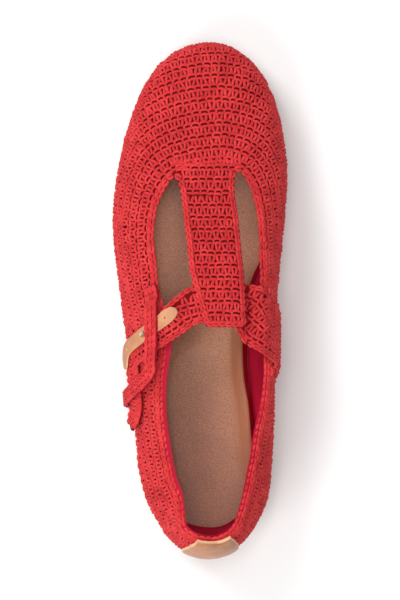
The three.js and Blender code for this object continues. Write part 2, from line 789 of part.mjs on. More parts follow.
const { prong, hole } = makeProng();
addPiece("outsole", makeSole(), finishes.soleRubber);
addPiece("insole", makeFootbed(), finishes.footbedLeather);
addPiece("upper", makeUpper(), finishes.crochet);
addPiece("instep_strap", makeStrap().subtract(hole), finishes.crochet);
addPiece("keeper_band", makeKeeper(), finishes.crochet);
addPiece("strap_leather", makeLeather().subtract(hole), finishes.tanLeather);
addPiece("buckle_prong", prong, finishes.steel);
addPiece("heel_tab", makeHeelTab(), finishes.tanLeather);

// The origin is on the floor in the middle of the shoe's footprint.
const box = new THREE.Box3().setFromObject(shoe);
const middle = box.getCenter(new THREE.Vector3());
shoe.position.set(-middle.x, -middle.y, -box.min.z);

export default shoe;
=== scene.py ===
# %% [markdown]
# # A crocheted T-strap flat
# This lesson dresses one left shoe: a red crocheted upper with a T-bar, a strap that threads under
# a keeper band, a grained leather footbed and a flat rubber sole. The solids come from CAD and fix
# every size and place. Blender adds the yarn, stitch by stitch, and the leather.
# Lengths are in millimetres, and MM turns them into metres when a mesh is made.

import bpy
import bmesh
import math
import numpy as np
from mathutils import Matrix, Vector
from mathutils.bvhtree import BVHTree
from mathutils.kdtree import KDTree


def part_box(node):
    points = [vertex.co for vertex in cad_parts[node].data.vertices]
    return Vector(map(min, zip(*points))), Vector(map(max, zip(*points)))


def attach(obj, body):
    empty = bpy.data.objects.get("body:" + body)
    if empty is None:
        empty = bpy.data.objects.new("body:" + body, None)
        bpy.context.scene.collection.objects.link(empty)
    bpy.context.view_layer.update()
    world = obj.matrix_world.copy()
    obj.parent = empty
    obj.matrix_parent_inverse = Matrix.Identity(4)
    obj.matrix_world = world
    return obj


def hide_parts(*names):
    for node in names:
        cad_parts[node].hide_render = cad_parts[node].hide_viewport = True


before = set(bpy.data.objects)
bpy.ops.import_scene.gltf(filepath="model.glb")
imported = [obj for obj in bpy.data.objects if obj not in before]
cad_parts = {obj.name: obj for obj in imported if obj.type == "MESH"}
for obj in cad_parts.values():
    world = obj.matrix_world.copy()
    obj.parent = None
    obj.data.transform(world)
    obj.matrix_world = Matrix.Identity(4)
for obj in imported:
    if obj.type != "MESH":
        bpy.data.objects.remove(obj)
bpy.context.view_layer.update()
MM = 0.001
chance = np.random.default_rng(38)
print("nodes:", sorted(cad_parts))

# %% [markdown]
# ## The camera and the light
# The picture looks straight down on a pair, from a point between the two shoes. So the camera hangs
# beside this shoe's axis, on its inner side, and is turned to the shoe until it fills the frame.
# The floor is a pale sweep, lit by wide soft lamps, as for a catalogue.

# %% Camera
CAMERA_BESIDE = 0.03
CAMERA_HEIGHT = 2.4
AIM = Vector((0.0, 0.0, 0.025))

bpy.ops.object.camera_add(location=(CAMERA_BESIDE, 0.0, CAMERA_HEIGHT))
camera = bpy.context.object
camera.name = "catalogue_camera"
back = (camera.location - AIM).normalized()
right = Vector((0, 1, 0)).cross(back).normalized()
turn = Matrix((right, back.cross(right), back)).transposed()
camera.rotation_euler = turn.to_euler()
camera.data.lens = 286
camera.data.sensor_width = 36
camera.data.dof.use_dof = False
bpy.context.scene.camera = camera
bpy.context.scene.view_settings.view_transform = "Standard"

# %% Floor, lamps and sky
bpy.ops.mesh.primitive_plane_add(size=6.0, location=(0, 0, 0))
floor = bpy.context.object
floor.name = "studio_floor"
paper = bpy.data.materials.new("white_paper")
paper.use_nodes = True
paper.node_tree.nodes["Principled BSDF"].inputs["Base Color"].default_value = (0.9, 0.9, 0.9, 1)
paper.node_tree.nodes["Principled BSDF"].inputs["Roughness"].default_value = 0.9
floor.data.materials.append(paper)


def soft_lamp(name, place, size, power, colour=(1, 1, 1)):
    bpy.ops.object.light_add(type="AREA", location=place)
    lamp = bpy.context.object
    lamp.name = name
    lamp.data.size = size
    lamp.data.energy = power
    lamp.data.color = colour
    lamp.rotation_mode = "QUATERNION"
    lamp.rotation_quaternion = (Vector((0, 0, 0)) - lamp.location).to_track_quat("-Z", "Y")
    return lamp


soft_lamp("lamp_overhead", (0.05, 0.1, 2.7), 1.2, 30)
soft_lamp("lamp_over_toe", (-0.7, 0.8, 1.2), 0.6, 11)
soft_lamp("lamp_heel", (-0.7, -0.9, 1.1), 0.8, 11)
sky = bpy.data.worlds.new("studio_sky")
bpy.context.scene.world = sky
sky.use_nodes = True
sky.node_tree.nodes["Background"].inputs["Color"].default_value = (1, 1, 1, 1)
sky.node_tree.nodes["Background"].inputs["Strength"].default_value = 0.38

# %% [markdown]
# ## The last
# A shoe takes its shape from a last, the solid foot form that it is made on. The CAD model gives it
# as sections from heel to toe. The same sections are used here, so that every stitch can be laid on
# the true surface. A section runs round the foot by its girth: -1 is the outer feather edge, 0 the
# outer widest line, 1 the crest, 2 the inner widest line and 3 the inner feather edge.

# %% Sizes and sections of the last
LENGTH, BALL, INSTEP = 256.0, 85.0, 66.0
WALL = 2.8
FEATHER_INSET, FEATHER_ANGLE = 3.4, 1.05
GAP, STRAP_GAP = 0.3, 0.5

SECTION_COLUMNS = "at outerHalf innerHalf outerWide innerWide outerFull innerFull outerTuck innerTuck"
SECTIONS = np.array([
    [0, 0, 0, 0.46, 0.46, 2.4, 2.4, 0, 0],
    [0.023, 0.198, 0.188, 0.46, 0.46, 2.3, 2.5, 0.022, 0.022],
    [0.063, 0.295, 0.284, 0.455, 0.46, 1.5, 1.93, 0.034, 0.036],
    [0.11, 0.366, 0.346, 0.45, 0.46, 1.41, 1.61, 0.042, 0.048],
    [0.17, 0.412, 0.37, 0.43, 0.47, 1.41, 1.62, 0.045, 0.065],
    [0.24, 0.431, 0.382, 0.4, 0.49, 1.56, 1.78, 0.05, 0.095],
    [0.31, 0.444, 0.389, 0.38, 0.51, 1.68, 2.34, 0.055, 0.13],
    [0.38, 0.467, 0.391, 0.37, 0.51, 1.66, 2.85, 0.06, 0.145],
    [0.46, 0.501, 0.394, 0.34, 0.47, 1.72, 2.4, 0.055, 0.125],
    [0.54, 0.535, 0.412, 0.315, 0.41, 1.75, 2.1, 0.05, 0.085],
    [0.62, 0.562, 0.437, 0.295, 0.34, 1.8, 2.05, 0.045, 0.055],
    [0.69, 0.56, 0.456, 0.285, 0.3, 1.85, 2.1, 0.04, 0.042],
    [0.75, 0.537, 0.463, 0.28, 0.285, 1.95, 2.1, 0.038, 0.038],
    [0.81, 0.497, 0.443, 0.285, 0.285, 2.05, 2.15, 0.038, 0.038],
    [0.87, 0.44, 0.406, 0.3, 0.3, 2.15, 2.2, 0.038, 0.038],
    [0.92, 0.372, 0.343, 0.32, 0.32, 2.2, 2.2, 0.034, 0.034],
    [0.96, 0.28, 0.26, 0.335, 0.335, 2.2, 2.2, 0.029, 0.029],
    [0.987, 0.165, 0.155, 0.345, 0.345, 2.2, 2.2, 0.018, 0.018],
    [1, 0, 0, 0.35, 0.35, 2.2, 2.2, 0, 0],
])
CREST = np.array([
    [0.12, 1.06, 0.02], [0.3, 1.05, 0.03], [0.4, 1.035, 0.05], [0.46, 1.01, 0.06],
    [0.52, 0.965, 0.055], [0.58, 0.9, 0.045], [0.64, 0.82, 0.03], [0.7, 0.74, 0.01],
    [0.76, 0.675, 0], [0.82, 0.62, 0], [0.88, 0.575, 0],
])
CREST_HEEL, CREST_TOE = 0.13, 0.88
TOPLINE = np.array([
    [-0.1, 0.93], [0.03, 0.915], [0.09, 0.855], [0.17, 0.8], [0.26, 0.79], [0.34, 0.81],
    [0.42, 0.84], [0.48, 0.85], [0.54, 0.85],
])


# %% Smooth tables
def smooth(xs, ys, x):
    """The CAD model's own interpolation of one column of a table."""
    x = np.asarray(x, float)
    secant = np.diff(ys) / np.diff(xs)
    slope = np.concatenate([secant[:1], (secant[1:] + secant[:-1]) / 2, secant[-1:]])
    i = np.clip(np.searchsorted(xs, x, side="right") - 1, 0, len(xs) - 2)
    span = xs[i + 1] - xs[i]
    s = np.clip((x - xs[i]) / span, 0, 1)
    h = s * s * (3 - 2 * s)
    bend = slope[i] * s * (1 - s) ** 2 - slope[i + 1] * s * s * (1 - s)
    return ys[i] * (1 - h) + ys[i + 1] * h + span * bend


def ramp(low, high, x):
    s = np.clip((np.asarray(x, float) - low) / (high - low), 0, 1)
    return s * s * (3 - 2 * s)


def share_along(station):
    return (1 - np.cos(np.pi * np.asarray(station, float))) / 2


def seat_height(at):
    return 6 + 6 * (1 - ramp(0.24, 0.66, at)) + 7 * ramp(0.7, 1.1, at)


station_keys = np.arccos(1 - 2 * SECTIONS[:, 0]) / np.pi
section_of = {name: SECTIONS[:, i] for i, name in enumerate(SECTION_COLUMNS.split())}


# %% The outer surface
def last_surface(station, girth):
    """Points of the upper's outer surface, in millimetres, before the frame's shift."""
    station, girth = np.broadcast_arrays(np.asarray(station, float), np.asarray(girth, float))
    outer = girth <= 1
    sign = np.where(outer, -1.0, 1.0)
    rise = np.where(outer, girth, 2 - girth)
    at = share_along(station)

    def column(name):
        left = smooth(station_keys, section_of["outer" + name], station)
        return np.where(outer, left, smooth(station_keys, section_of["inner" + name], station))

    x = sign * BALL * column("Half")
    y = at * LENGTH
    z = INSTEP * column("Wide")
    drop = np.clip(-rise, 0, 1) * FEATHER_ANGLE
    inset = (1 - np.cos(drop)) / (1 - math.cos(FEATHER_ANGLE))
    x = x - sign * BALL * inset * column("Tuck")
    y = LENGTH / 2 + (y - LENGTH / 2) * (1 - inset * FEATHER_INSET / (LENGTH / 2))
    sink = np.sin(drop) / math.sin(FEATHER_ANGLE)
    z = z * (1 - sink) + seat_height(at) * sink
    crest_at = CREST_HEEL + (CREST_TOE - CREST_HEEL) * at
    top_x = BALL * smooth(CREST[:, 0], CREST[:, 2], crest_at)
    top_y = LENGTH * crest_at
    top_z = INSTEP * smooth(CREST[:, 0], CREST[:, 1], crest_at)
    angle = np.clip(rise, 0, 1) * np.pi / 2
    c, s = np.maximum(np.cos(angle), 0), np.maximum(np.sin(angle), 0)
    full = column("Full")
    reach = (c**full + s**full) ** (-1 / full)
    up = rise > 0
    return np.stack([
        np.where(up, top_x + (x - top_x) * reach * c, x),
        np.where(up, top_y + (y - top_y) * reach * c, y),
        np.where(up, z + (top_z - z) * reach * s, z),
    ], axis=-1)


# %% Dense skin of the last, with a skirt below the feather edge
STATIONS, GIRTHS = 240, 200
station_grid = np.linspace(0, 1, STATIONS + 1)[:, None]
girth_grid = np.linspace(-1, 3, GIRTHS + 1)[None, :]
skin = last_surface(station_grid, girth_grid)
upper_low, upper_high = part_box("upper")
SHIFT = np.array([
    upper_low.x / MM - skin[..., 0].min(), upper_low.y / MM - skin[..., 1].min(), 0.0,
])
skin = skin + SHIFT
skirts = [skin[:, :1] - [0, 0, d] for d in (70, 35)]
far_skirts = [skin[:, -1:] - [0, 0, d] for d in (35, 70)]
skin = np.concatenate([*skirts, skin, *far_skirts], axis=1)
rows, columns = skin.shape[:2]
corner = (np.arange(rows - 1)[:, None] * columns + np.arange(columns - 1)[None, :]).ravel()
quads = np.stack([corner, corner + 1, corner + columns + 1, corner + columns], axis=1)
last_mesh = bmesh.new()
for point in skin.reshape(-1, 3):
    last_mesh.verts.new(point)
last_mesh.verts.ensure_lookup_table()
for quad in quads:
    last_mesh.faces.new([last_mesh.verts[i] for i in quad])
bmesh.ops.remove_doubles(last_mesh, verts=last_mesh.verts, dist=0.01)
last_mesh.normal_update()
last_tree = BVHTree.FromBMesh(last_mesh)
middle = Vector((0, 0, 30))
probe = last_tree.ray_cast(Vector((0, 20, 120)), Vector((0, 0, -1)))
OUTWARD = 1.0 if probe[1].z > 0 else -1.0
print("last:", len(last_mesh.faces), "faces, shift", SHIFT.round(2), "outward", OUTWARD)


# %% Finding places on the last
def on_last(points):
    """Nearest places of the surface and its outward normals."""
    places, normals = [], []
    for p in points:
        place, normal, _, _ = last_tree.find_nearest(Vector(p))
        places.append(place)
        normals.append(normal * OUTWARD)
    return np.array(places), np.array(normals)


def seen_from_above(plan):
    """Places of the surface under plan points given as (across, at) shares."""
    found = []
    for across, at in plan:
        start = Vector((across * BALL + SHIFT[0], at * LENGTH + SHIFT[1], 150))
        found.append(last_tree.ray_cast(start, Vector((0, 0, -1)))[0])
    return np.array(found)


def unit(v):
    return v / np.maximum(np.linalg.norm(v, axis=-1, keepdims=True), 1e-9)


def spaced(points, count, closed=False):
    """The same line with evenly spaced points."""
    pts = np.vstack([points, points[:1]]) if closed else np.asarray(points)
    length = np.concatenate([[0], np.cumsum(np.linalg.norm(np.diff(pts, axis=0), axis=1))])
    wanted = np.linspace(0, length[-1], count + 1)[:-1] if closed else np.linspace(0, length[-1], count)
    return np.stack([np.interp(wanted, length, pts[:, k]) for k in range(3)], axis=1)


def line_length(points, closed=False):
    pts = np.vstack([points, points[:1]]) if closed else np.asarray(points)
    return np.linalg.norm(np.diff(pts, axis=0), axis=1).sum()


def softened(points, passes, closed=True):
    pts = np.array(points)
    for _ in range(passes):
        if closed:
            pts = pts * 0.5 + (np.roll(pts, 1, 0) + np.roll(pts, -1, 0)) * 0.25
        else:
            pts[1:-1] = pts[1:-1] * 0.5 + (pts[:-2] + pts[2:]) * 0.25
    return pts


# %% [markdown]
# ## The mouth of the shoe
# The yarn starts at the mouth: the edge round the two windows of the T, the throat and the collar.
# The windows are drawn in plan and the collar from the side, as in CAD. Joined, they are one closed
# line, and the crochet is worked round it in rounds down to the sole.

# %% Edges seen from above, as (at, across) shares
OUTER_WINDOW = np.array([
    [0.44, -0.262], [0.48, -0.274], [0.505, -0.294], [0.53, -0.311], [0.565, -0.318],
    [0.605, -0.333], [0.645, -0.33], [0.668, -0.318], [0.688, -0.302], [0.708, -0.271],
    [0.726, -0.238], [0.736, -0.209], [0.73, -0.178],
])
INNER_WINDOW = np.array([
    [0.44, 0.322], [0.48, 0.322], [0.52, 0.33], [0.548, 0.332], [0.585, 0.326], [0.62, 0.321],
    [0.655, 0.31], [0.686, 0.288], [0.716, 0.258], [0.736, 0.222], [0.749, 0.183], [0.742, 0.157],
])
BAR_OUTER = np.array([
    [0.446, -0.01], [0.5, -0.06], [0.55, -0.103], [0.605, -0.121], [0.66, -0.142],
    [0.706, -0.159], [0.73, -0.178],
])
BAR_INNER = np.array([
    [0.446, 0.222], [0.5, 0.216], [0.55, 0.208], [0.605, 0.189], [0.66, 0.172],
    [0.706, 0.152], [0.742, 0.157],
])


def plan_line(rows_at_across, count):
    keys = np.linspace(0, 1, len(rows_at_across))
    wanted = np.linspace(0, 1, count)
    at = smooth(keys, rows_at_across[:, 0], wanted)
    across = smooth(keys, rows_at_across[:, 1], wanted)
    return np.stack([across, at], axis=1)


# %% The collar, found by looking out from the middle of the heel
def collar_places(angles):
    found = []
    for angle in angles:
        y = 10.0
        for _ in range(6):
            z = INSTEP * float(smooth(TOPLINE[:, 0], TOPLINE[:, 1], y / LENGTH))
            start_y = max(45.0, min(y, 112.0)) if abs(angle) < 90 else y
            start = Vector((1.5 + SHIFT[0], 45 + SHIFT[1], z))
            turn = math.radians(angle)
            way = Vector((math.sin(turn), -math.cos(turn), 0))
            hit = last_tree.ray_cast(start, way)[0]
            y = hit.y - SHIFT[1]
        found.append(hit)
    return np.array(found)


def collar_side(ats, side):
    found = []
    for at in ats:
        z = INSTEP * float(smooth(TOPLINE[:, 0], TOPLINE[:, 1], at))
        start = Vector((side * 120.0, at * LENGTH + SHIFT[1], z))
        found.append(last_tree.ray_cast(start, Vector((-side, 0, 0)))[0])
    return np.array(found)


outer_edge = seen_from_above(plan_line(OUTER_WINDOW[:12], 60))
inner_edge = seen_from_above(plan_line(INNER_WINDOW[:11], 60))[::-1]
root_edge = seen_from_above([(-0.12, 0.746), (-0.02, 0.753), (0.08, 0.757)])
inner_collar = collar_side(np.linspace(0.425, 0.19, 30), 1)
heel_collar = collar_places(np.linspace(78, -78, 40))
outer_collar = collar_side(np.linspace(0.19, 0.425, 30), -1)
mouth = np.vstack([outer_edge, root_edge, inner_edge, inner_collar, heel_collar, outer_collar])
mouth = spaced(softened(spaced(mouth, 400, True), 3), 400, True)
print("mouth is", round(line_length(mouth, True)), "mm round")

# %% [markdown]
# ## One stitch
# Single crochet worked back and forth shows two faces in turn. Its front has two legs that spread in
# a V under the chain that closes the row. Its back has a short bar across with two feet below. Each
# strand is a curve with a round bevel, bent to its path and turned into a mesh: that is how a cord
# is drawn by hand, and it keeps the strand's thickness even. One of each is modelled, and copied.

# %% Drawing a strand
PITCH, ROW = 3.95, 3.05
RIM_WIDTH, RIM_PITCH, RIM_EDGE = 2.8, 3.4, 1.5


def strand(name, path, thick, steps=4):
    """One strand of yarn through the given points, in millimetres, closed at both ends."""
    bpy.ops.object.select_all(action="DESELECT")
    bpy.ops.curve.primitive_bezier_curve_add(enter_editmode=False)
    piece = bpy.context.object
    piece.name = name
    curve = piece.data
    spline = curve.splines[0]
    spline.bezier_points.add(len(path) - 2)
    for knot, place in zip(spline.bezier_points, path):
        knot.co = place[:3]
        knot.handle_left_type = knot.handle_right_type = "AUTO"
        knot.radius = place[3] if len(place) > 3 else 1.0
    curve.dimensions = "3D"
    curve.resolution_u = max(1, steps // (len(path) - 1))
    curve.bevel_depth = thick / 2
    curve.bevel_resolution = 1
    curve.use_fill_caps = True
    bpy.ops.object.convert(target="MESH")
    return bpy.context.object


def joined(name, parts):
    bpy.ops.object.select_all(action="DESELECT")
    for part in parts:
        part.select_set(True)
    bpy.context.view_layer.objects.active = parts[0]
    bpy.ops.object.join()
    whole = bpy.context.object
    whole.name = name
    return whole


# %% The three stamps
def front_stitch():
    left = strand("leg_l", [(-0.62, -1.75, -0.5, 0.85), (-1.0, -0.1, 0.12, 1.05), (-1.3, 1.65, -0.5, 0.85)], 1.5)
    right = strand("leg_r", [(0.62, -1.75, -0.5, 0.85), (1.05, -0.1, 0.12, 1.05), (1.35, 1.65, -0.5, 0.85)], 1.5)
    return joined("stitch_front", [left, right])


def back_stitch():
    bar = strand("bar", [(-2.1, 0.6, -0.55, 0.85), (0.0, 1.25, 0.12, 1.1), (2.1, 0.6, -0.55, 0.85)], 1.42)
    base = strand("base", [(-2.1, -1.5, -0.55, 0.85), (0.0, -1.15, 0.1, 1.05), (2.1, -1.5, -0.55, 0.85)], 1.4)
    post = strand("post", [(-1.97, -1.1, -0.6, 0.9), (-1.9, 0.0, -0.15, 1.0), (-1.97, 0.9, -0.6, 0.9)], 1.25)
    return joined("stitch_back", [bar, base, post])


def chain_stitch():
    left = strand("loop_l", [(-1.75, 0.1, -0.5, 0.75), (-0.2, 0.78, 0.15, 1.1), (1.75, 0.5, -0.45, 0.85)], 1.35)
    right = strand("loop_r", [(-1.75, -0.1, -0.5, 0.75), (-0.1, -0.78, 0.15, 1.1), (1.75, -0.5, -0.45, 0.85)], 1.35)
    return joined("stitch_chain", [left, right])


class Stamp:
    """The arrays of a modelled stitch, ready to be copied many times."""

    def __init__(self, piece):
        mesh = piece.data
        self.points = np.zeros(len(mesh.vertices) * 3)
        mesh.vertices.foreach_get("co", self.points)
        self.points = self.points.reshape(-1, 3)
        self.totals = np.zeros(len(mesh.polygons), int)
        mesh.polygons.foreach_get("loop_total", self.totals)
        self.corners = np.zeros(len(mesh.loops), int)
        mesh.loops.foreach_get("vertex_index", self.corners)
        self.name = piece.name
        bpy.data.objects.remove(piece)


stitch_front, stitch_back, stitch_chain = Stamp(front_stitch()), Stamp(back_stitch()), Stamp(chain_stitch())
for stamp in (stitch_front, stitch_back, stitch_chain):
    print(stamp.name, len(stamp.totals), "faces")


# %% [markdown]
# ## Copying stitches along a line
# A placement holds where a stitch sits, which way its row runs, which way the work grows, and the
# surface's outward direction. Real hand work is never quite even, so each copy is a little turned,
# moved and swollen, with a shade of its own, which the yarn's material reads as an attribute.

# %% Placements and copies
def placements(points, along, grows, outward, pitch_share=1.0, row_share=1.0, sink=0.75):
    return {
        "at": points - outward * sink, "along": along, "grows": grows, "outward": outward,
        "wide": np.broadcast_to(pitch_share, len(points)).astype(float),
        "tall": np.broadcast_to(row_share, len(points)).astype(float),
    }


def chosen(place, keep):
    return {k: v[keep] for k, v in place.items()}


def worked(name, groups, material, body="root"):
    """Copies each stamp to its placements and makes one mesh of them."""
    all_points, all_totals, all_corners, all_shades = [], [], [], []
    base = 0
    for stamp, place, jitter in groups:
        n = len(place["at"])
        if n == 0:
            continue
        x_axis, y_axis, z_axis = unit(place["along"]), unit(place["grows"]), unit(place["outward"])
        turn = chance.normal(0, 0.09 * jitter, n)[:, None]
        x_axis, y_axis = x_axis + y_axis * turn, y_axis - x_axis * turn
        swell = 1 + chance.normal(0, 0.08 * jitter, n)
        shift = chance.normal(0, 0.15 * jitter, (n, 3))
        local = stamp.points
        pts = (
            local[None, :, 0:1] * x_axis[:, None] * (place["wide"] * swell)[:, None, None]
            + local[None, :, 1:2] * y_axis[:, None] * place["tall"][:, None, None]
            + local[None, :, 2:3] * z_axis[:, None] * swell[:, None, None]
            + (place["at"] + shift * 0.8)[:, None]
        )
        count = len(local)
        offsets = base + np.arange(n) * count
        all_points.append(pts.reshape(-1, 3))
        all_totals.append(np.tile(stamp.totals, n))
        all_corners.append((stamp.corners[None] + offsets[:, None]).ravel())
        all_shades.append(np.repeat(chance.uniform(0, 1, n), count))
        base += n * count
    points = np.vstack(all_points) * MM
    totals, corners = np.concatenate(all_totals), np.concatenate(all_corners)
    mesh = bpy.data.meshes.new(name)
    mesh.vertices.add(len(points))
    mesh.vertices.foreach_set("co", points.ravel())
    mesh.loops.add(len(corners))
    mesh.loops.foreach_set("vertex_index", corners.astype(np.int32))
    mesh.polygons.add(len(totals))
    mesh.polygons.foreach_set("loop_start", np.concatenate([[0], np.cumsum(totals)[:-1]]).astype(np.int32))
    mesh.polygons.foreach_set("loop_total", totals.astype(np.int32))
    mesh.polygons.foreach_set("use_smooth", np.ones(len(totals), bool))
    shade = mesh.attributes.new("shade", "FLOAT", "POINT")
    shade.data.foreach_set("value", np.concatenate(all_shades).astype(np.float32))
    mesh.update()
    mesh.validate()
    piece = bpy.data.objects.new(name, mesh)
    bpy.context.scene.collection.objects.link(piece)
    piece.data.materials.append(material)
    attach(piece, body)
    triangles = int((totals - 2).sum())
    print(name, sum(len(p["at"]) for _, p, _ in groups), "stitches,", triangles, "triangles")
    return piece


# %% [markdown]
# ## Materials
# Yarn is matt with a soft sheen at its edges, and its fibres show as a fine mottle. Holes in
# the work are darker only because light doesn't reach them, so the cloth behind is painted a deeper red as that
# shade.

# %% Node helpers
def new_material(name, rough, **sockets):
    material = bpy.data.materials.new(name)
    material.use_nodes = True
    shader = material.node_tree.nodes["Principled BSDF"]
    shader.inputs["Roughness"].default_value = rough
    for key, value in sockets.items():
        shader.inputs[key.replace("_", " ")].default_value = value
    return material, material.node_tree, shader


def add_node(tree, kind, **settings):
    node = tree.nodes.new(kind)
    for key, value in settings.items():
        if key in node.inputs:
            node.inputs[key].default_value = value
        else:
            setattr(node, key, value)
    return node


def noise(tree, coordinates, scale, detail=3.0, rough=0.5):
    node = add_node(tree, "ShaderNodeTexNoise")
    node.inputs["Scale"].default_value = scale
    node.inputs["Detail"].default_value = detail
    node.inputs["Roughness"].default_value = rough
    tree.links.new(coordinates, node.inputs["Vector"])
    return node


def blend_ramp(tree, source, stops):
    node = add_node(tree, "ShaderNodeValToRGB")
    while len(node.color_ramp.elements) < len(stops):
        node.color_ramp.elements.new(0.5)
    for element, (position, colour) in zip(node.color_ramp.elements, stops):
        element.position = position
        element.color = (*colour, 1)
    tree.links.new(source, node.inputs["Fac"])
    return node


def bump(tree, shader, height, strength, distance):
    node = add_node(tree, "ShaderNodeBump")
    node.inputs["Strength"].default_value = strength
    node.inputs["Distance"].default_value = distance
    tree.links.new(height, node.inputs["Height"])
    tree.links.new(node.outputs["Normal"], shader.inputs["Normal"])
    return node


def linear(red, green, blue):
    """A colour as it is seen on screen, from 0 to 255, as the shader wants it."""
    return tuple(((v / 255 + 0.055) / 1.055) ** 2.4 if v > 10 else v / 3295 for v in (red, green, blue))


# %% Red yarn
def red_yarn(name, dark, mid, light):
    material, tree, shader = new_material(name, 0.82)
    shader.inputs["Sheen Weight"].default_value = 0.06
    shader.inputs["Sheen Roughness"].default_value = 0.5
    shader.inputs["Specular IOR Level"].default_value = 0.2
    place = add_node(tree, "ShaderNodeTexCoord").outputs["Object"]
    shade = add_node(tree, "ShaderNodeAttribute", attribute_name="shade").outputs["Fac"]
    blotch = noise(tree, place, 60, 2).outputs["Fac"]
    mix = add_node(tree, "ShaderNodeMath", operation="ADD")
    tree.links.new(shade, mix.inputs[0])
    tree.links.new(blotch, mix.inputs[1])
    half = add_node(tree, "ShaderNodeMath", operation="MULTIPLY")
    half.inputs[1].default_value = 0.5
    tree.links.new(mix.outputs[0], half.inputs[0])
    colour = blend_ramp(tree, half.outputs[0], [(0.1, dark), (0.5, mid), (0.9, light)])
    fibre = noise(tree, place, 2000, 3, 0.75).outputs["Fac"]
    fluff = blend_ramp(tree, fibre, [(0.35, (0.8, 0.72, 0.72)), (0.65, (1.14, 1.2, 1.2))])
    mottled = add_node(tree, "ShaderNodeMixRGB", blend_type="MULTIPLY")
    mottled.inputs["Fac"].default_value = 1.0
    tree.links.new(colour.outputs["Color"], mottled.inputs["Color1"])
    tree.links.new(fluff.outputs["Color"], mottled.inputs["Color2"])
    tree.links.new(mottled.outputs["Color"], shader.inputs["Base Color"])
    bump(tree, shader, fibre, 0.7, 0.0004)
    return material


yarn = red_yarn("red_yarn", linear(186, 36, 42), linear(208, 48, 52), linear(224, 62, 64))


# %% Deep red cloth behind the stitches, painted as the shade in the holes, and the crimson lining
def plain_cloth(name, colour, weave=1800, rough=0.85):
    material, tree, shader = new_material(name, rough)
    shader.inputs["Specular IOR Level"].default_value = 0.15
    place = add_node(tree, "ShaderNodeTexCoord").outputs["Object"]
    cloud = noise(tree, place, 45, 3).outputs["Fac"]
    deep = tuple(v * 0.8 for v in colour)
    ramp_node = blend_ramp(tree, cloud, [(0.35, deep), (0.65, colour)])
    tree.links.new(ramp_node.outputs["Color"], shader.inputs["Base Color"])
    bump(tree, shader, noise(tree, place, weave, 2).outputs["Fac"], 0.25, 0.0002)
    return material


# This deep red is painted shade: it stands in for the shade that fills the holes between stitches.
hole_shade_red = plain_cloth("painted_hole_shade_red", linear(120, 4, 10))
lining = plain_cloth("crimson_lining", linear(178, 16, 48), 2400, 0.7)

# %% [markdown]
# ## The upper's wall
# Behind the stitches is the wall itself: the lining inside, and outside a deeper red that is painted
# shade for the holes. The CAD solid has its true form and openings, so a copy of it is merged, and
# its outer face is drawn in by the depth of a stitch.

# %% A merged copy of a CAD node
def copy_of_node(node, name, angle=35):
    bpy.ops.object.select_all(action="DESELECT")
    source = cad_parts[node]
    piece = source.copy()
    piece.data = source.data.copy()
    piece.name = name
    for key in [k for k in piece.keys() if k.startswith("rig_")]:
        del piece[key]
    piece.parent = None
    piece.matrix_world = Matrix.Identity(4)
    bpy.context.scene.collection.objects.link(piece)
    piece.select_set(True)
    bpy.context.view_layer.objects.active = piece
    bpy.ops.object.mode_set(mode="EDIT")
    bpy.ops.mesh.select_all(action="SELECT")
    bpy.ops.mesh.remove_doubles(threshold=0.00002)
    bpy.ops.object.mode_set(mode="OBJECT")
    bpy.ops.object.shade_smooth_by_angle(angle=math.radians(angle))
    piece.data.materials.clear()
    return piece


def put_on(piece, materials, slot, *nodes):
    for material in materials:
        piece.data.materials.append(material)
    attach(piece, "root")
    if nodes:
        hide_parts(*nodes)


# %% Draw the outer face in
STITCH_DEPTH = 1.45
wall = copy_of_node("upper", "upper_wall")
mesh = wall.data
points = np.zeros(len(mesh.vertices) * 3)
mesh.vertices.foreach_get("co", points)
points = points.reshape(-1, 3) / MM
nearest, outward = on_last(points)
on_outside = np.linalg.norm(points - nearest, axis=1) < 0.35
points[on_outside] -= outward[on_outside] * STITCH_DEPTH
mesh.vertices.foreach_set("co", (points * MM).ravel())
put_on(wall, [lining, hole_shade_red], "crochet", "upper")
# Faces on the outside show only through the holes between stitches, so they take the deep red painted as the shade
# in those holes.
for face in mesh.polygons:
    ids = list(face.vertices)
    face.material_index = 1 if on_outside[ids].all() else 0
mesh.update()
print("wall:", int(on_outside.sum()), "of", len(points), "points are on the outside")

# %% [markdown]
# ## Rounds of crochet
# From the mouth, each round is laid one row height further down the surface, square to the one
# before. Where the shoe gets wider the round gets longer and takes more stitches, as in real work.

# %% Work the rounds
def round_frame(points):
    places, outward = on_last(points)
    along = unit(np.roll(places, -1, 0) - np.roll(places, 1, 0))
    grows = unit(np.cross(along, outward))
    return places, along, grows, outward


def next_round(points, step):
    places, along, grows, outward = round_frame(points)
    moved = softened(places + grows * step * GROW_SIGN, 1)
    places, _ = on_last(moved)
    return spaced(places, max(60, round(line_length(places, True) / 1.2)), True)


places, along, grows, outward = round_frame(mouth)
toe_side = int(np.argmax(mouth[:, 1]))
GROW_SIGN = 1.0 if grows[toe_side][1] > 0 else -1.0


def upright(grows):
    """1 where the edge stands up, as at the collar, and 0 where it lies flat, as at a window."""
    return np.clip(-grows[:, 2:] * GROW_SIGN, 0, 1)


def first_round(line):
    """Lies clear of the rim, which covers more of the surface where the edge lies flat."""
    step = (2.9 - 1.3 * upright(round_frame(line)[2]) + ROW / 2) / 3
    for _ in range(3):
        places, along, grows, outward = round_frame(line)
        line, _ = on_last(places + grows * step * GROW_SIGN)
    return next_round(line, 0)


rounds = []
line = first_round(mouth)
for number in range(36):
    rounds.append(line)
    line = next_round(next_round(line, ROW / 2), ROW / 2)

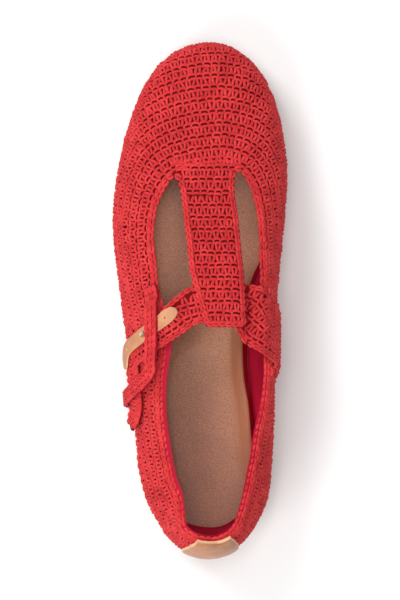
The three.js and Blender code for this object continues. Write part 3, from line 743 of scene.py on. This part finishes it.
shell_front, shell_back = [], []
for number, line in enumerate(rounds):
    count = round(line_length(line, True) / PITCH)
    points = spaced(line, count, True)
    if number % 4 >= 2:
        points = spaced(np.roll(line, 1, 0), count, True)
    places, along, grows, outward = round_frame(points)
    share = line_length(line, True) / count / PITCH
    place = placements(places, along, grows * GROW_SIGN, outward, share, 1.0)
    floor_height = seat_height((places[:, 1] - SHIFT[1]) / LENGTH) + 1.0
    keep = places[:, 2] > floor_height
    (shell_front if number % 2 else shell_back).append(chosen(place, keep))


def gathered(list_of_places):
    return {k: np.concatenate([p[k] for p in list_of_places]) for k in list_of_places[0]}


shell_front, shell_back = gathered(shell_front), gathered(shell_back)

# %% [markdown]
# ## The T-bar
# The bar is worked across, row after row, from its root back to the strap. Its two long edges and
# the edge of the mouth are finished with a slip-stitched cord, which looks like a twisted rope.

# %% Rows across the bar
def edge_at(edge, at):
    order = np.argsort(edge[:, 0])
    return float(np.interp(at, edge[order, 0], edge[order, 1]))


bar_front, bar_back = [], []
bar_rows = np.arange(0.762, 0.46, -ROW / LENGTH * 0.97)
for number, at in enumerate(bar_rows):
    inset = (RIM_WIDTH - 0.2) / BALL
    low, high = edge_at(BAR_OUTER, at) + inset, edge_at(BAR_INNER, at) - inset
    flare = max(0.0, at - 0.735) * 2.6
    low, high = low - flare, high + flare
    bow = 0.004 if at > 0.7 else 0.0
    line = seen_from_above([(s, at + bow) for s in np.linspace(low, high, 60)])
    count = max(3, round(line_length(line) / (PITCH * 0.97)))
    points = spaced(line, count * 2 + 1)[1::2]
    places, outward = on_last(points)
    along = unit(np.gradient(places, axis=0))
    grows = unit(np.cross(outward, along))
    share = line_length(line) / count / PITCH
    place = placements(places, along, grows, outward, share, 1.0)
    (bar_back if number % 2 else bar_front).append(place)
worked("crochet_t_bar", [
    (stitch_front, gathered(bar_front), 1.0),
    (stitch_back, gathered(bar_back), 1.0),
], yarn)

# %% [markdown]
# ## The rim
# One chain of slip stitches runs round the whole mouth: up one window, round its front end, down the
# bar, across its rear end and back on the other side, then round the collar. It is a closed line.

# %% Chain round the mouth
rear_edge = seen_from_above([(s, 0.447) for s in np.linspace(-0.008, 0.22, 20)])
rim_line = np.vstack([
    seen_from_above(plan_line(OUTER_WINDOW, 60)), seen_from_above(plan_line(BAR_OUTER[::-1], 60)),
    rear_edge, seen_from_above(plan_line(BAR_INNER, 60)),
    seen_from_above(plan_line(INNER_WINDOW[::-1], 60)), inner_collar, heel_collar, outer_collar,
])
rim_line = spaced(softened(spaced(rim_line, 700, True), 2), 700, True)


def rolled_chain(points, spacing, wide, tall):
    """A chain along a cut edge: it lies flat beside a window and is rolled over the collar's edge."""
    count = round(line_length(points, True) / spacing)
    even = spaced(softened(points, 1), count, True)
    places, along, grows, outward = round_frame(even)
    off_edge = -grows * GROW_SIGN
    stands = upright(grows)
    outward_now = unit(outward * (1 - 0.25 * stands) + off_edge * (0.35 + 0.3 * stands))
    centre = places - outward * (0.35 + 1.5 * stands) + off_edge * (1.4 * stands - 1.3)
    grows_now = unit(np.cross(outward_now, along))
    return placements(centre, along, grows_now, outward_now, wide * spacing / RIM_PITCH, tall, 0.1)


rim_chain = rolled_chain(rim_line, RIM_PITCH, 1.0, 1.22)
print("rim is", round(line_length(rim_line, True)), "mm round,", len(rim_chain["at"]), "stitches")

# %% [markdown]
# ## Ribbons on the last
# The strap, the keeper band and the leather strip are flat strips that follow the foot. Each is
# modelled flat first, with its length along X and its width along Y, and then laid on the shoe: every
# point moves to the place of its length and width on the surface, as high above it as it was thick.

# %% A route over the surface
STRAP_ROUTE = np.array([
    [0.41, 0.378, 0.47, 1.55], [0.418, 0.368, 0.62, 1.7], [0.431, 0.348, 0.745, 1.95],
    [0.45, 0.312, 0.838, 2], [0.489, 0.224, 0.93, 1.5], [0.498, 0.08, 0.983, 1.45],
    [0.493, -0.06, 0.959, 1.35], [0.473, -0.152, 0.918, 1.05], [0.448, -0.222, 0.868, 1],
    [0.414, -0.35, 0.7, 1], [0.385, -0.435, 0.54, 1], [0.345, -0.438, 0.54, 1],
    [0.3, -0.422, 0.56, 0.98], [0.245, -0.43, 0.52, 0.9],
])
STRAP_WIDTH, STRAP_THICK = 15.5, 2.2
KEEPER_WIDTH, KEEPER_THICK = 7.6, 2.2
LEATHER_WIDTH, LEATHER_THICK, LEATHER_SHIFT = 6.6, 0.9, 3.1
LEATHER_FROM, LEATHER_TO, LEATHER_HOLES = 0.5, 0.8, (0.54, 0.637, 0.745)
OVER_STRAP = STRAP_GAP + STRAP_THICK + GAP
OVER_LEATHER = OVER_STRAP + LEATHER_THICK + GAP
KEEPER_ROUTE = np.array([
    [0.525, -0.33, 0.755, GAP], [0.506, -0.314, 0.777, GAP], [0.486, -0.301, 0.79, OVER_STRAP],
    [0.466, -0.292, 0.8, OVER_LEATHER], [0.44, -0.288, 0.803, OVER_LEATHER],
    [0.385, -0.288, 0.795, OVER_LEATHER], [0.36, -0.295, 0.775, OVER_STRAP],
    [0.34, -0.336, 0.7, OVER_STRAP], [0.322, -0.39, 0.575, OVER_STRAP],
    [0.31, -0.425, 0.45, OVER_STRAP], [0.304, -0.433, 0.33, OVER_STRAP], [0.3, -0.425, 0.23, GAP],
])


def drawn_through(knots, per_span=40):
    """A centripetal curve through the knots, and the share of each point along the table."""
    knots = np.vstack([2 * knots[0] - knots[1], knots, 2 * knots[-1] - knots[-2]])
    line, keys = [], []
    spans = len(knots) - 3
    for i in range(spans):
        p = knots[i:i + 4]
        d = np.maximum(np.linalg.norm(np.diff(p, axis=0), axis=1) ** 0.5, 1e-4)
        t1 = (p[1] - p[0]) / d[0] - (p[2] - p[0]) / (d[0] + d[1]) + (p[2] - p[1]) / d[1]
        t2 = (p[2] - p[1]) / d[1] - (p[3] - p[1]) / (d[1] + d[2]) + (p[3] - p[2]) / d[2]
        t1, t2 = t1 * d[1], t2 * d[1]
        s = np.linspace(0, 1, per_span, endpoint=i == spans - 1)[:, None]
        cubic = 2 * p[1] - 2 * p[2] + t1 + t2
        square = -3 * p[1] + 3 * p[2] - 2 * t1 - t2
        line.append(cubic * s**3 + square * s**2 + t1 * s + p[1])
        keys.append((i + s[:, 0]) / spans)
    return np.vstack(line), np.concatenate(keys)


# %% A ribbon: places beside a route
class Ribbon:
    """Places on the last beside a route, looked up by length and by distance to the side."""

    def __init__(self, route, reach, steps=90):
        knots = route[:, [1, 0, 2]] * [BALL, LENGTH, INSTEP] + SHIFT
        line, keys = drawn_through(knots)
        run = np.concatenate([[0], np.cumsum(np.linalg.norm(np.diff(line, axis=0), axis=1))])
        wanted = np.linspace(0, run[-1], steps)
        line = np.stack([np.interp(wanted, run, line[:, k]) for k in range(3)], axis=1)
        self.key = np.interp(wanted, run, keys)
        centre, normal = on_last(line)
        heading = unit(np.gradient(centre, axis=0))
        self.share = np.linspace(0, 1, steps)
        self.length = line_length(centre)
        self.aside = np.arange(-reach, reach + 1.0, 1.0)
        middle_index = len(self.aside) // 2
        self.place = np.zeros((steps, len(self.aside), 3))
        self.normal = np.zeros_like(self.place)
        self.place[:, middle_index], self.normal[:, middle_index] = centre, normal
        for way in (1, -1):
            here, up = centre, normal
            side = unit(np.cross(normal, heading)) * way
            for k in range(1, middle_index + 1):
                here, up = on_last(here + side)
                side = unit(side - up * (side * up).sum(1, keepdims=True))
                self.place[:, middle_index + way * k] = here
                self.normal[:, middle_index + way * k] = up
        for _ in range(3):
            for axis in (0, 1):
                padded = np.concatenate([
                    np.take(self.normal, [0], axis), self.normal, np.take(self.normal, [-1], axis),
                ], axis)
                size = self.normal.shape[axis]
                before = np.take(padded, range(size), axis)
                after = np.take(padded, range(2, size + 2), axis)
                self.normal = unit(self.normal * 2 + before + after)

    def spot(self, share, aside):
        share, aside = np.broadcast_arrays(np.asarray(share, float), np.asarray(aside, float))
        u = np.clip(share, 0, 1) * (len(self.share) - 1)
        v = np.clip(aside - self.aside[0], 0, len(self.aside) - 1.001)
        i = np.clip(u.astype(int), 0, len(self.share) - 2)
        j = np.clip(v.astype(int), 0, len(self.aside) - 2)
        a, b = (u - i)[..., None], (v - j)[..., None]

        def mixed(grid):
            return (grid[i, j] * (1 - a) * (1 - b) + grid[i + 1, j] * a * (1 - b)
                    + grid[i, j + 1] * (1 - a) * b + grid[i + 1, j + 1] * a * b)

        return mixed(self.place), unit(mixed(self.normal))

    def column(self, route, column, share, eased=False):
        keys = np.linspace(0, 1, len(route))
        key = np.interp(share, self.share, self.key)
        if not eased:
            return smooth(keys, route[:, column], key)
        i = np.clip(np.searchsorted(keys, key, side="right") - 1, 0, len(keys) - 2)
        s = np.clip((key - keys[i]) / (keys[i + 1] - keys[i]), 0, 1)
        return route[i, column] + (route[i + 1, column] - route[i, column]) * s * s * (3 - 2 * s)


strap_way = Ribbon(STRAP_ROUTE, 20)
keeper_way = Ribbon(KEEPER_ROUTE, 6)
print("strap", round(strap_way.length, 1), "mm, keeper", round(keeper_way.length, 1), "mm")


# %% How high the strips lie, and how wide they are
def strap_half(share):
    left = (1 - np.asarray(share, float)) * strap_way.length
    tip = np.minimum(1, left / 12)
    rounded = np.sqrt(1 - (1 - tip) ** 2)
    return STRAP_WIDTH / 2 * strap_way.column(STRAP_ROUTE, 3, share) * (0.3 + 0.7 * rounded)


def strap_level(place, share):
    across = (place[..., 0] - SHIFT[0]) / BALL
    dip = ramp(-0.252, -0.1, across) * (1 - ramp(0.235, 0.304, across))
    return STRAP_GAP + (-WALL - 0.8 - STRAP_THICK - STRAP_GAP) * dip + 2 * ramp(0.915, 1, share)


def on_strap(share, aside, height):
    place, normal = strap_way.spot(share, aside)
    return place + normal * (strap_level(place, share) + height)[..., None]


def on_keeper(share, aside, height):
    place, normal = keeper_way.spot(share, aside)
    level = keeper_way.column(KEEPER_ROUTE, 3, share, eased=True)
    return place + normal * (level + height)[..., None]


# %% [markdown]
# ## Where the strap is sewn on
# On the inner wall the strap is worked into the upper, so no end of it shows there. The rounds of
# the upper run on over it, lifted by its thickness, and the strap's own stitches start at the mouth.

# %% How far a place lies inside the strap's border, and beyond the mouth
sewn_rows = int((strap_way.share <= 0.32).sum())
sewn_tree = KDTree(sewn_rows * len(strap_way.aside))
for i in range(sewn_rows):
    for j in range(len(strap_way.aside)):
        sewn_tree.insert(strap_way.place[i, j], i * len(strap_way.aside) + j)
sewn_tree.balance()
mouth_places, _, mouth_grows, _ = round_frame(mouth)
mouth_tree = KDTree(len(mouth_places))
for i, place in enumerate(mouth_places):
    mouth_tree.insert(place, i)
mouth_tree.balance()


def inside_strap(points):
    """Distance inside the border of the strap's sewn part, and its top there."""
    depth, top = [], []
    for point in points:
        _, index, away = sewn_tree.find(Vector(point))
        row, column = divmod(index, len(strap_way.aside))
        share = strap_way.share[row]
        left = strap_half(share) - abs(strap_way.aside[column])
        along = share * strap_way.length if row else -away
        depth.append(min(left, along) - max(0, away - 0.8))
        top.append(strap_level(strap_way.place[row, column], share) + STRAP_THICK)
    return np.array(depth), np.array(top)


def past_mouth(points):
    """How far each place lies beyond the edge of the mouth, on the upper's side."""
    found = []
    for point in points:
        _, index, _ = mouth_tree.find(Vector(point))
        found.append(float(np.dot(point - mouth_places[index], mouth_grows[index] * GROW_SIGN)))
    return np.array(found)


# %% Lift the rounds over it, leave some below to close the slope, and make them
def lifted(place):
    near = np.linalg.norm(place["at"] - strap_way.place[8, 20], axis=1) < 45
    depth, top = inside_strap(place["at"][near])
    below = chosen(chosen(place, near), (depth > -5) & (depth < 3) & (top > 0))
    place["at"][near] += place["outward"][near] * (np.maximum(top, 0) * ramp(-6, 1, depth))[:, None]
    return gathered([place, below])


shell_front, shell_back = lifted(shell_front), lifted(shell_back)
for title, low, high in (("toe", 40, 999), ("middle", -45, 40), ("heel", -999, -45)):
    groups = []
    for stamp, place in ((stitch_front, shell_front), (stitch_back, shell_back)):
        y = place["at"][:, 1]
        groups.append((stamp, chosen(place, (y >= low) & (y < high)), 1.0))
    worked("crochet_" + title, groups, yarn)
depth, top = inside_strap(rim_chain["at"])
worked("mouth_rim_chain", [(stitch_chain, chosen(rim_chain, (depth < 5) | (top < 2)), 0.6)], yarn)


# %% A flat strip, modelled flat and then laid on its ribbon
def flat_strip(name, length, width, thick, cell, bevel):
    bpy.ops.object.select_all(action="DESELECT")
    across, along = max(2, round(width / cell)), max(2, round(length / cell))
    bpy.ops.mesh.primitive_grid_add(x_subdivisions=along, y_subdivisions=across, size=1)
    strip = bpy.context.object
    strip.name = name
    bpy.ops.object.mode_set(mode="EDIT")
    bpy.ops.transform.resize(value=(length, width, 1))
    bpy.ops.transform.translate(value=(length / 2, 0, 0))
    bpy.ops.object.mode_set(mode="OBJECT")
    return strip


def thickened(strip, thick, bevel, segments=2):
    solidify = strip.modifiers.new("wall", "SOLIDIFY")
    solidify.thickness = thick
    solidify.offset = 1
    bpy.ops.object.modifier_apply(modifier="wall")
    if bevel:
        round_off = strip.modifiers.new("edge", "BEVEL")
        round_off.width = bevel
        round_off.segments = segments
        round_off.limit_method = "ANGLE"
        round_off.angle_limit = math.radians(50)
        bpy.ops.object.modifier_apply(modifier="edge")


def laid(strip, place_of):
    """Moves a flat strip's points to their place on the shoe, and turns its faces outwards."""
    mesh = strip.data
    flat = np.zeros(len(mesh.vertices) * 3)
    mesh.vertices.foreach_get("co", flat)
    flat = flat.reshape(-1, 3)
    mesh.vertices.foreach_set("co", (place_of(flat[:, 0], flat[:, 1], flat[:, 2]) * MM).ravel())
    bpy.ops.object.select_all(action="DESELECT")
    strip.select_set(True)
    bpy.context.view_layer.objects.active = strip
    bpy.ops.object.mode_set(mode="EDIT")
    bpy.ops.mesh.select_all(action="SELECT")
    bpy.ops.mesh.normals_make_consistent(inside=False)
    bpy.ops.object.mode_set(mode="OBJECT")
    bpy.ops.object.shade_smooth_by_angle(angle=math.radians(45))
    return strip


# %% [markdown]
# ## The strap and the keeper band
# Both are long strips of crochet with rows along their length and a felt-like core that closes the
# holes. The strap starts wide on the inner wall, dips under the T-bar, crosses the outer wall and
# ends in a rounded tip. The keeper band holds it down, then runs back over it.

# %% Cores
strap_core = flat_strip("strap_core", 1.0, 2.0, 0, 0.018, 0)
thickened(strap_core, 1.0, 0)
laid(strap_core, lambda x, y, z: on_strap(x, y * (strap_half(x) - 0.7), z * (STRAP_THICK - 1.35)))
# The strap's core takes the same deep red, painted as the shade in the holes between its stitches.
put_on(strap_core, [hole_shade_red], "crochet_strap", "instep_strap")
keeper_core = flat_strip("keeper_core", 1.0, 2.0, 0, 0.018, 0)
thickened(keeper_core, 1.0, 0)
laid(keeper_core, lambda x, y, z: on_keeper(x, y * (KEEPER_WIDTH / 2 - 0.35), z * (KEEPER_THICK - 1.25)))
put_on(keeper_core, [lining], "crochet_strap", "keeper_band")


# %% Stitches along a strip
def strip_row(place_of, thick, start, stop, aside_of, length, spacing, turn, sink=0.75, tall=1.0):
    """Placements of one row along a strip. turn is 1 or -1: the way in which the work grows."""
    shares = np.linspace(start, stop, 200)
    line = place_of(shares, aside_of(shares), thick + 0 * shares)
    run = np.concatenate([[0], np.cumsum(np.linalg.norm(np.diff(line, axis=0), axis=1))])
    count = max(2, round(run[-1] / spacing))
    even = np.interp((np.arange(count) + 0.5) / count * run[-1], run, shares)
    aside = aside_of(even)
    here = place_of(even, aside, thick + 0 * even)
    ahead = place_of(even + 0.004, aside_of(even + 0.004), thick + 0 * even)
    beside = place_of(even, aside + 0.5, thick + 0 * even)
    along = unit(ahead - here)
    outward = unit(np.cross(along, beside - here))
    up_test = place_of(even, aside, thick + 1 + 0 * even) - here
    outward *= np.sign((outward * up_test).sum(1, keepdims=True))
    grows = unit(np.cross(outward, along)) * turn
    wide = run[-1] / count / (RIM_PITCH if spacing < PITCH * 0.98 else PITCH)
    return placements(here, along * turn, grows, outward, wide, tall, sink)


def strip_of_rows(name, place_of, half_of, thick, spans, rim, row, shown):
    front, back, chains = [], [], []
    widest = half_of(np.linspace(0, 1, 60)).max()
    count = int((2 * widest - 2 * rim) / row + 0.35)
    for number in range(count):
        offset = rim + (number + 0.5) * row
        shares = np.linspace(spans[0], spans[1], 400)
        fits = half_of(shares) * 2 - offset > rim + row * 0.3
        if not fits.any() or np.ptp(shares[fits]) < 0.03:
            continue
        aside = lambda s, o=offset: half_of(s) - o
        target = front if number % 2 else back
        target.append(strip_row(place_of, thick, shares[fits][0], shares[fits][-1], aside, 0, PITCH, 1))
    for way in (1, -1):
        line = lambda s, w=way: w * (half_of(s) - rim / 2)
        tall = rim / RIM_WIDTH
        chains.append(strip_row(place_of, thick, *spans, line, 0, RIM_PITCH, way, 0.8, tall))
    groups = []
    for stamp, found, jitter in ((stitch_chain, chains, 0.3), (stitch_front, front, 0.8), (stitch_back, back, 0.8)):
        place = gathered(found)
        groups.append((stamp, chosen(place, shown(place["at"])), jitter))
    return worked(name, groups, yarn)


strip_of_rows("strap_stitches", on_strap, strap_half, STRAP_THICK, (0.015, 0.985), 2.7, ROW,
              lambda at: (at[:, 0] < 0) | (past_mouth(at) < 2.6))
keeper_half = lambda share: KEEPER_WIDTH / 2 + 0 * np.asarray(share, float)
keeper_rows = [
    strip_row(on_keeper, KEEPER_THICK, 0.01, 0.99, lambda s, a=a: a + 0 * s, 0, RIM_PITCH * 0.95, w, 0.8, 0.86)
    for a, w in ((2.5, 1), (0.0, 1), (-2.5, -1))
]
worked("keeper_stitches", [(stitch_chain, gathered(keeper_rows), 0.6)], yarn)

# %% [markdown]
# ## Leather
# Leather has a fine pebbled grain, a soft shine and paler cut edges. Cells of a Voronoi texture make
# the pebbles, and noise gives the uneven dye. The strip on the strap is thin and has punched holes.


# %% Leather material
def leather(name, dark, mid, light, grain, rough, coat, depth=0.00012, edge_attribute=None, pale=None):
    material, tree, shader = new_material(name, rough)
    shader.inputs["Coat Weight"].default_value = coat
    shader.inputs["Coat Roughness"].default_value = 0.35
    place = add_node(tree, "ShaderNodeTexCoord").outputs["Object"]
    cloud = noise(tree, place, 70, 5, 0.6).outputs["Fac"]
    tone = blend_ramp(tree, cloud, [(0.3, dark), (0.5, mid), (0.72, light)])
    colour = tone.outputs["Color"]
    if edge_attribute:
        edge = add_node(tree, "ShaderNodeAttribute", attribute_name=edge_attribute)
        mix = add_node(tree, "ShaderNodeMixRGB")
        mix.inputs["Color2"].default_value = (*pale, 1)
        tree.links.new(edge.outputs["Fac"], mix.inputs["Fac"])
        tree.links.new(colour, mix.inputs["Color1"])
        colour = mix.outputs["Color"]
    tree.links.new(colour, shader.inputs["Base Color"])
    pebbles = add_node(tree, "ShaderNodeTexVoronoi")
    pebbles.inputs["Scale"].default_value = grain
    tree.links.new(place, pebbles.inputs["Vector"])
    fine = noise(tree, place, grain * 2.2, 4, 0.6).outputs["Fac"]
    both = add_node(tree, "ShaderNodeMath", operation="ADD")
    tree.links.new(pebbles.outputs["Distance"], both.inputs[0])
    tree.links.new(fine, both.inputs[1])
    bump(tree, shader, both.outputs[0], 0.5, depth)
    return material


tan = leather("tan_leather", linear(168, 106, 66), linear(191, 129, 87), linear(209, 151, 107),
              1500, 0.55, 0.1, 0.0001, "cut_edge", linear(232, 190, 146))
heel_tan = leather("heel_tab_tan", linear(150, 92, 60), linear(180, 120, 83), linear(199, 139, 100),
                   1300, 0.5, 0.15, 0.0001, "cut_edge", linear(212, 166, 124))


# %% Leather strip with punched holes
strip_length = (LEATHER_TO - LEATHER_FROM) * strap_way.length
CELL = 0.55
strip = flat_strip("strap_leather_strip", strip_length, LEATHER_WIDTH, 0, CELL, 0)
flat_holes = [(h - LEATHER_FROM) * strap_way.length for h in LEATHER_HOLES]
HOLE_RADIUS = (0.55, 0.8, 0.65)
bpy.ops.object.mode_set(mode="EDIT")
sheet = bmesh.from_edit_mesh(strip.data)
for face in list(sheet.faces):
    centre = face.calc_center_median()
    if any(math.hypot(centre.x - x, centre.y) < r for x, r in zip(flat_holes, HOLE_RADIUS)):
        sheet.faces.remove(face)
for vertex in [v for v in sheet.verts if not v.link_faces]:
    sheet.verts.remove(vertex)
for vertex in sheet.verts:
    if vertex.is_boundary:
        for x, r in zip(flat_holes, HOLE_RADIUS):
            away = math.hypot(vertex.co.x - x, vertex.co.y)
            if away < r + CELL * 1.1:
                vertex.co.x = x + (vertex.co.x - x) * r / away
                vertex.co.y = vertex.co.y * r / away
bmesh.update_edit_mesh(strip.data)
bpy.ops.object.mode_set(mode="OBJECT")
for vertex in strip.data.vertices:
    to_end = min(vertex.co.x, strip_length - vertex.co.x) / (0.14 * strip_length)
    rounded = math.sqrt(1 - (1 - min(1, max(0, to_end))) ** 2)
    if not any(math.hypot(vertex.co.x - x, vertex.co.y) < 1.6 for x in flat_holes):
        vertex.co.y *= 0.25 + 0.75 * rounded
thickened(strip, LEATHER_THICK, 0.16)
leather_base = STRAP_THICK + GAP


def on_leather(x, y, z):
    return on_strap(LEATHER_FROM + x / strap_way.length, y - LEATHER_SHIFT, leather_base + z)


laid(strip, on_leather)


# %% Pale cut edges
def mark_edges(piece, steep=0.55, name="cut_edge", blur=1):
    """Sets an attribute that is 1 where a leather piece shows its cut edge."""
    mesh = piece.data
    marks = np.zeros(len(mesh.vertices))
    for face in mesh.polygons:
        centre = np.array(face.center)[None] / MM
        _, outward = on_last(centre)
        if abs(float(np.dot(np.array(face.normal), outward[0]))) < steep:
            marks[list(face.vertices)] = 1
    layer = mesh.attributes.new(name, "FLOAT", "POINT")
    layer.data.foreach_set("value", marks.astype(np.float32))


mark_edges(strip)
put_on(strip, [tan], "tan_leather", "strap_leather")
print("leather strip", round(strip_length, 1), "mm long,", len(strip.data.polygons), "faces")

# %% [markdown]
# ## The prong
# A small pale metal prong stands in the middle hole and lies on the leather towards the keeper band.
# The CAD solid is right, so it stays. It only needs a brushed metal.

# %% Brushed metal
metal, tree, shader = new_material("pale_brushed_metal", 0.34)
shader.inputs["Metallic"].default_value = 1.0
shader.inputs["Base Color"].default_value = (*linear(214, 205, 190), 1)
place = add_node(tree, "ShaderNodeTexCoord").outputs["Object"]
bump(tree, shader, noise(tree, place, 4000, 2).outputs["Fac"], 0.15, 0.00005)
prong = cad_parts["buckle_prong"]
prong.material_slots[0].material = metal

# %% [markdown]
# ## The heel tab
# A tan leather saddle is folded over the back of the collar and sewn down. The solid has its true
# outline and fold, so a merged copy gets rounded edges and the leather.

# %% Heel tab
tab = copy_of_node("heel_tab", "heel_tab_leather", 40)
round_off = tab.modifiers.new("edge", "BEVEL")
round_off.width = 0.22 * MM
round_off.segments = 2
round_off.limit_method = "ANGLE"
round_off.angle_limit = math.radians(50)
bpy.ops.object.modifier_apply(modifier="edge")
mark_edges(tab)
put_on(tab, [heel_tan], "tan_leather", "heel_tab")

# %% [markdown]
# ## The footbed
# The footbed is one sheet of brown grained leather over a moulded base, smooth and lighter where it
# is cupped along the arch. The copy of the solid is cut finer and its top drawn to the true curve.

# %% Footbed
BED_EDGE = np.array([
    [0.13, 0.3], [0.17, 0.265], [0.221, 0.249], [0.296, 0.229], [0.345, 0.204], [0.417, 0.197],
    [0.5, 0.222], [0.54, 0.25], [0.595, 0.335], [0.65, 0.45],
])
bed = copy_of_node("insole", "footbed", 40)
bpy.ops.object.mode_set(mode="EDIT")
bpy.ops.mesh.select_all(action="SELECT")
bpy.ops.mesh.subdivide(number_cuts=3)
bpy.ops.object.mode_set(mode="OBJECT")
mesh = bed.data
points = np.zeros(len(mesh.vertices) * 3)
mesh.vertices.foreach_get("co", points)
points = points.reshape(-1, 3) / MM - SHIFT
at = points[:, 1] / LENGTH
station = np.arccos(1 - 2 * np.clip(at, 0, 1)) / np.pi
outer = np.minimum(last_surface(station, 0)[:, 0], -6) - WALL
inner = np.maximum(last_surface(station, 2)[:, 0], 6) + WALL
thick = 5.2 + (3.2 - 5.2) * ramp(0.2, 0.6, at)
arch = 3.2 * ramp(0.12, 0.26, at) * (1 - ramp(0.38, 0.54, at))
cup = 2.2 * (1 - ramp(0.05, 0.2, at))
end = 2.2 * (1 - ramp(0, 0.06, at))
free = BALL * smooth(BED_EDGE[:, 0], BED_EDGE[:, 1], at)
edge = np.minimum(free, inner - 3.4)
share = np.clip((points[:, 0] - outer) / (inner - outer), 0, 1)
flank = arch * (1 - ramp(0, 10, edge - points[:, 0]))
rim = cup * np.abs(share * 2 - 1) ** 3
base = seat_height(np.clip(at, 0, 1))
skive = ramp(0, 2.4, points[:, 0] - edge)
top = base + (thick + flank + np.maximum(rim, end)) * (1 - skive) + 0.4 * skive
on_top = (points[:, 2] > base + 0.75 * thick) & (points[:, 0] < edge + 0.5)
points[on_top, 2] = points[on_top, 2] * 0.1 + top[on_top] * 0.9
mesh.vertices.foreach_set("co", ((points + SHIFT) * MM).ravel())
cupped = (1 - ramp(5, 7.5, edge - points[:, 0])) * ramp(0.1, 0.2, at) * (1 - ramp(0.5, 0.6, at))
layer = mesh.attributes.new("cupped", "FLOAT", "POINT")
layer.data.foreach_set("value", cupped.astype(np.float32))
layer = mesh.attributes.new("at", "FLOAT", "POINT")
layer.data.foreach_set("value", at.astype(np.float32))
bpy.ops.object.shade_smooth_by_angle(angle=math.radians(50))

# %% Lining behind the footbed, from its rear edge down and up the back of the heel
cove = flat_strip("heel_lining", 1.0, 1.0, 0, 0.04, 0)
thickened(cove, 0.4, 0)


def behind_bed(x, y, z):
    turn = np.pi * (0.02 + 0.96 * x)
    reach = np.cos(turn) * np.where(x < 0.5, 0.26, 0.4)
    edge = np.stack([
        BALL * (0.018 + reach), LENGTH * (0.176 + (0.053 - 0.176) * np.sin(turn)), 15.8 + 0 * x,
    ], axis=1) + SHIFT
    out = edge - (np.array([1.5, 45, 0]) + SHIFT)
    out[:, 2] = 0
    wall_place, wall_out = on_last(edge + unit(out) * 30 + [0, 0, 12])
    wall_place = wall_place - wall_out * (WALL + 0.5)
    bend = wall_place * [1, 1, 0] + [0, 0, 13.2]
    t = (0.5 + y)[:, None]
    curve = edge * (1 - t) ** 2 + bend * 2 * t * (1 - t) + wall_place * t ** 2
    return curve - unit(out) * (z * t[:, 0])[:, None] + np.array([0, 0, 1]) * (z * (1 - t[:, 0]))[:, None]


laid(cove, behind_bed)
put_on(cove, [lining], "crochet")

# %% Footbed leather
hide, tree, shader = new_material("footbed_leather", 0.58)
shader.inputs["Coat Weight"].default_value = 0.06
place = add_node(tree, "ShaderNodeTexCoord").outputs["Object"]
along_at = add_node(tree, "ShaderNodeAttribute", attribute_name="at").outputs["Fac"]
in_cup = add_node(tree, "ShaderNodeAttribute", attribute_name="cupped").outputs["Fac"]
# Colour along the footbed: darker towards the heel, and much lighter from the middle to the toe. That lift under
# the vamp is painted light, making up for the vamp's shade on the forefoot.
tone_and_painted_light = blend_ramp(tree, along_at, [
    (0.02, linear(152, 98, 75)), (0.2, linear(164, 108, 82)), (0.42, linear(184, 128, 97)),
    (0.6, linear(220, 152, 118)), (0.9, linear(196, 136, 106)),
])
pebbles = add_node(tree, "ShaderNodeTexVoronoi")
pebbles.inputs["Scale"].default_value = 750
tree.links.new(place, pebbles.inputs["Vector"])
speck = noise(tree, place, 1500, 3, 0.7).outputs["Fac"]
cloud = noise(tree, place, 30, 4, 0.6).outputs["Fac"]
mottle = blend_ramp(tree, speck, [(0.34, (0.6, 0.56, 0.53)), (0.66, (1.36, 1.38, 1.38))])
grained = add_node(tree, "ShaderNodeMixRGB", blend_type="MULTIPLY")
grained.inputs["Fac"].default_value = 0.75
tree.links.new(tone_and_painted_light.outputs["Color"], grained.inputs["Color1"])
tree.links.new(mottle.outputs["Color"], grained.inputs["Color2"])
wear = blend_ramp(tree, cloud, [(0.35, (0.88, 0.87, 0.86)), (0.65, (1.08, 1.08, 1.08))])
worn = add_node(tree, "ShaderNodeMixRGB", blend_type="MULTIPLY")
worn.inputs["Fac"].default_value = 0.8
tree.links.new(grained.outputs["Color"], worn.inputs["Color1"])
tree.links.new(wear.outputs["Color"], worn.inputs["Color2"])
cup_mix = add_node(tree, "ShaderNodeMixRGB")
cup_mix.inputs["Color2"].default_value = (*linear(158, 92, 58), 1)
tree.links.new(in_cup, cup_mix.inputs["Fac"])
tree.links.new(worn.outputs["Color"], cup_mix.inputs["Color1"])
tree.links.new(cup_mix.outputs["Color"], shader.inputs["Base Color"])
grain_height = add_node(tree, "ShaderNodeMath", operation="ADD")
tree.links.new(pebbles.outputs["Distance"], grain_height.inputs[0])
tree.links.new(speck, grain_height.inputs[1])
fade = add_node(tree, "ShaderNodeMath", operation="MULTIPLY_ADD")
fade.inputs[1].default_value = -0.75
fade.inputs[2].default_value = 1.0
tree.links.new(in_cup, fade.inputs[0])
height = add_node(tree, "ShaderNodeMath", operation="MULTIPLY")
tree.links.new(grain_height.outputs[0], height.inputs[0])
tree.links.new(fade.outputs[0], height.inputs[1])
bump(tree, shader, height.outputs[0], 0.8, 0.0004)
put_on(bed, [hide, lining], "footbed_leather", "insole")
beside = points[:, 0] - edge > 0.2
for face in bed.data.polygons:
    face.material_index = int(beside[list(face.vertices)].all())

# %% [markdown]
# ## The sole
# The rubber unit keeps its CAD solid: outline, groove, heel and toe spring are right. Crepe-like
# rubber is matt, slightly mottled and finely pitted, and that is all that it needs.

# %% Rubber
rubber, tree, shader = new_material("sole_rubber", 0.78)
place = add_node(tree, "ShaderNodeTexCoord").outputs["Object"]
cloud = noise(tree, place, 90, 4).outputs["Fac"]
tone = blend_ramp(tree, cloud, [(0.35, linear(158, 122, 84)), (0.65, linear(182, 146, 104))])
tree.links.new(tone.outputs["Color"], shader.inputs["Base Color"])
bump(tree, shader, noise(tree, place, 1600, 3, 0.7).outputs["Fac"], 0.4, 0.00015)
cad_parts["outsole"].material_slots[0].material = rubber
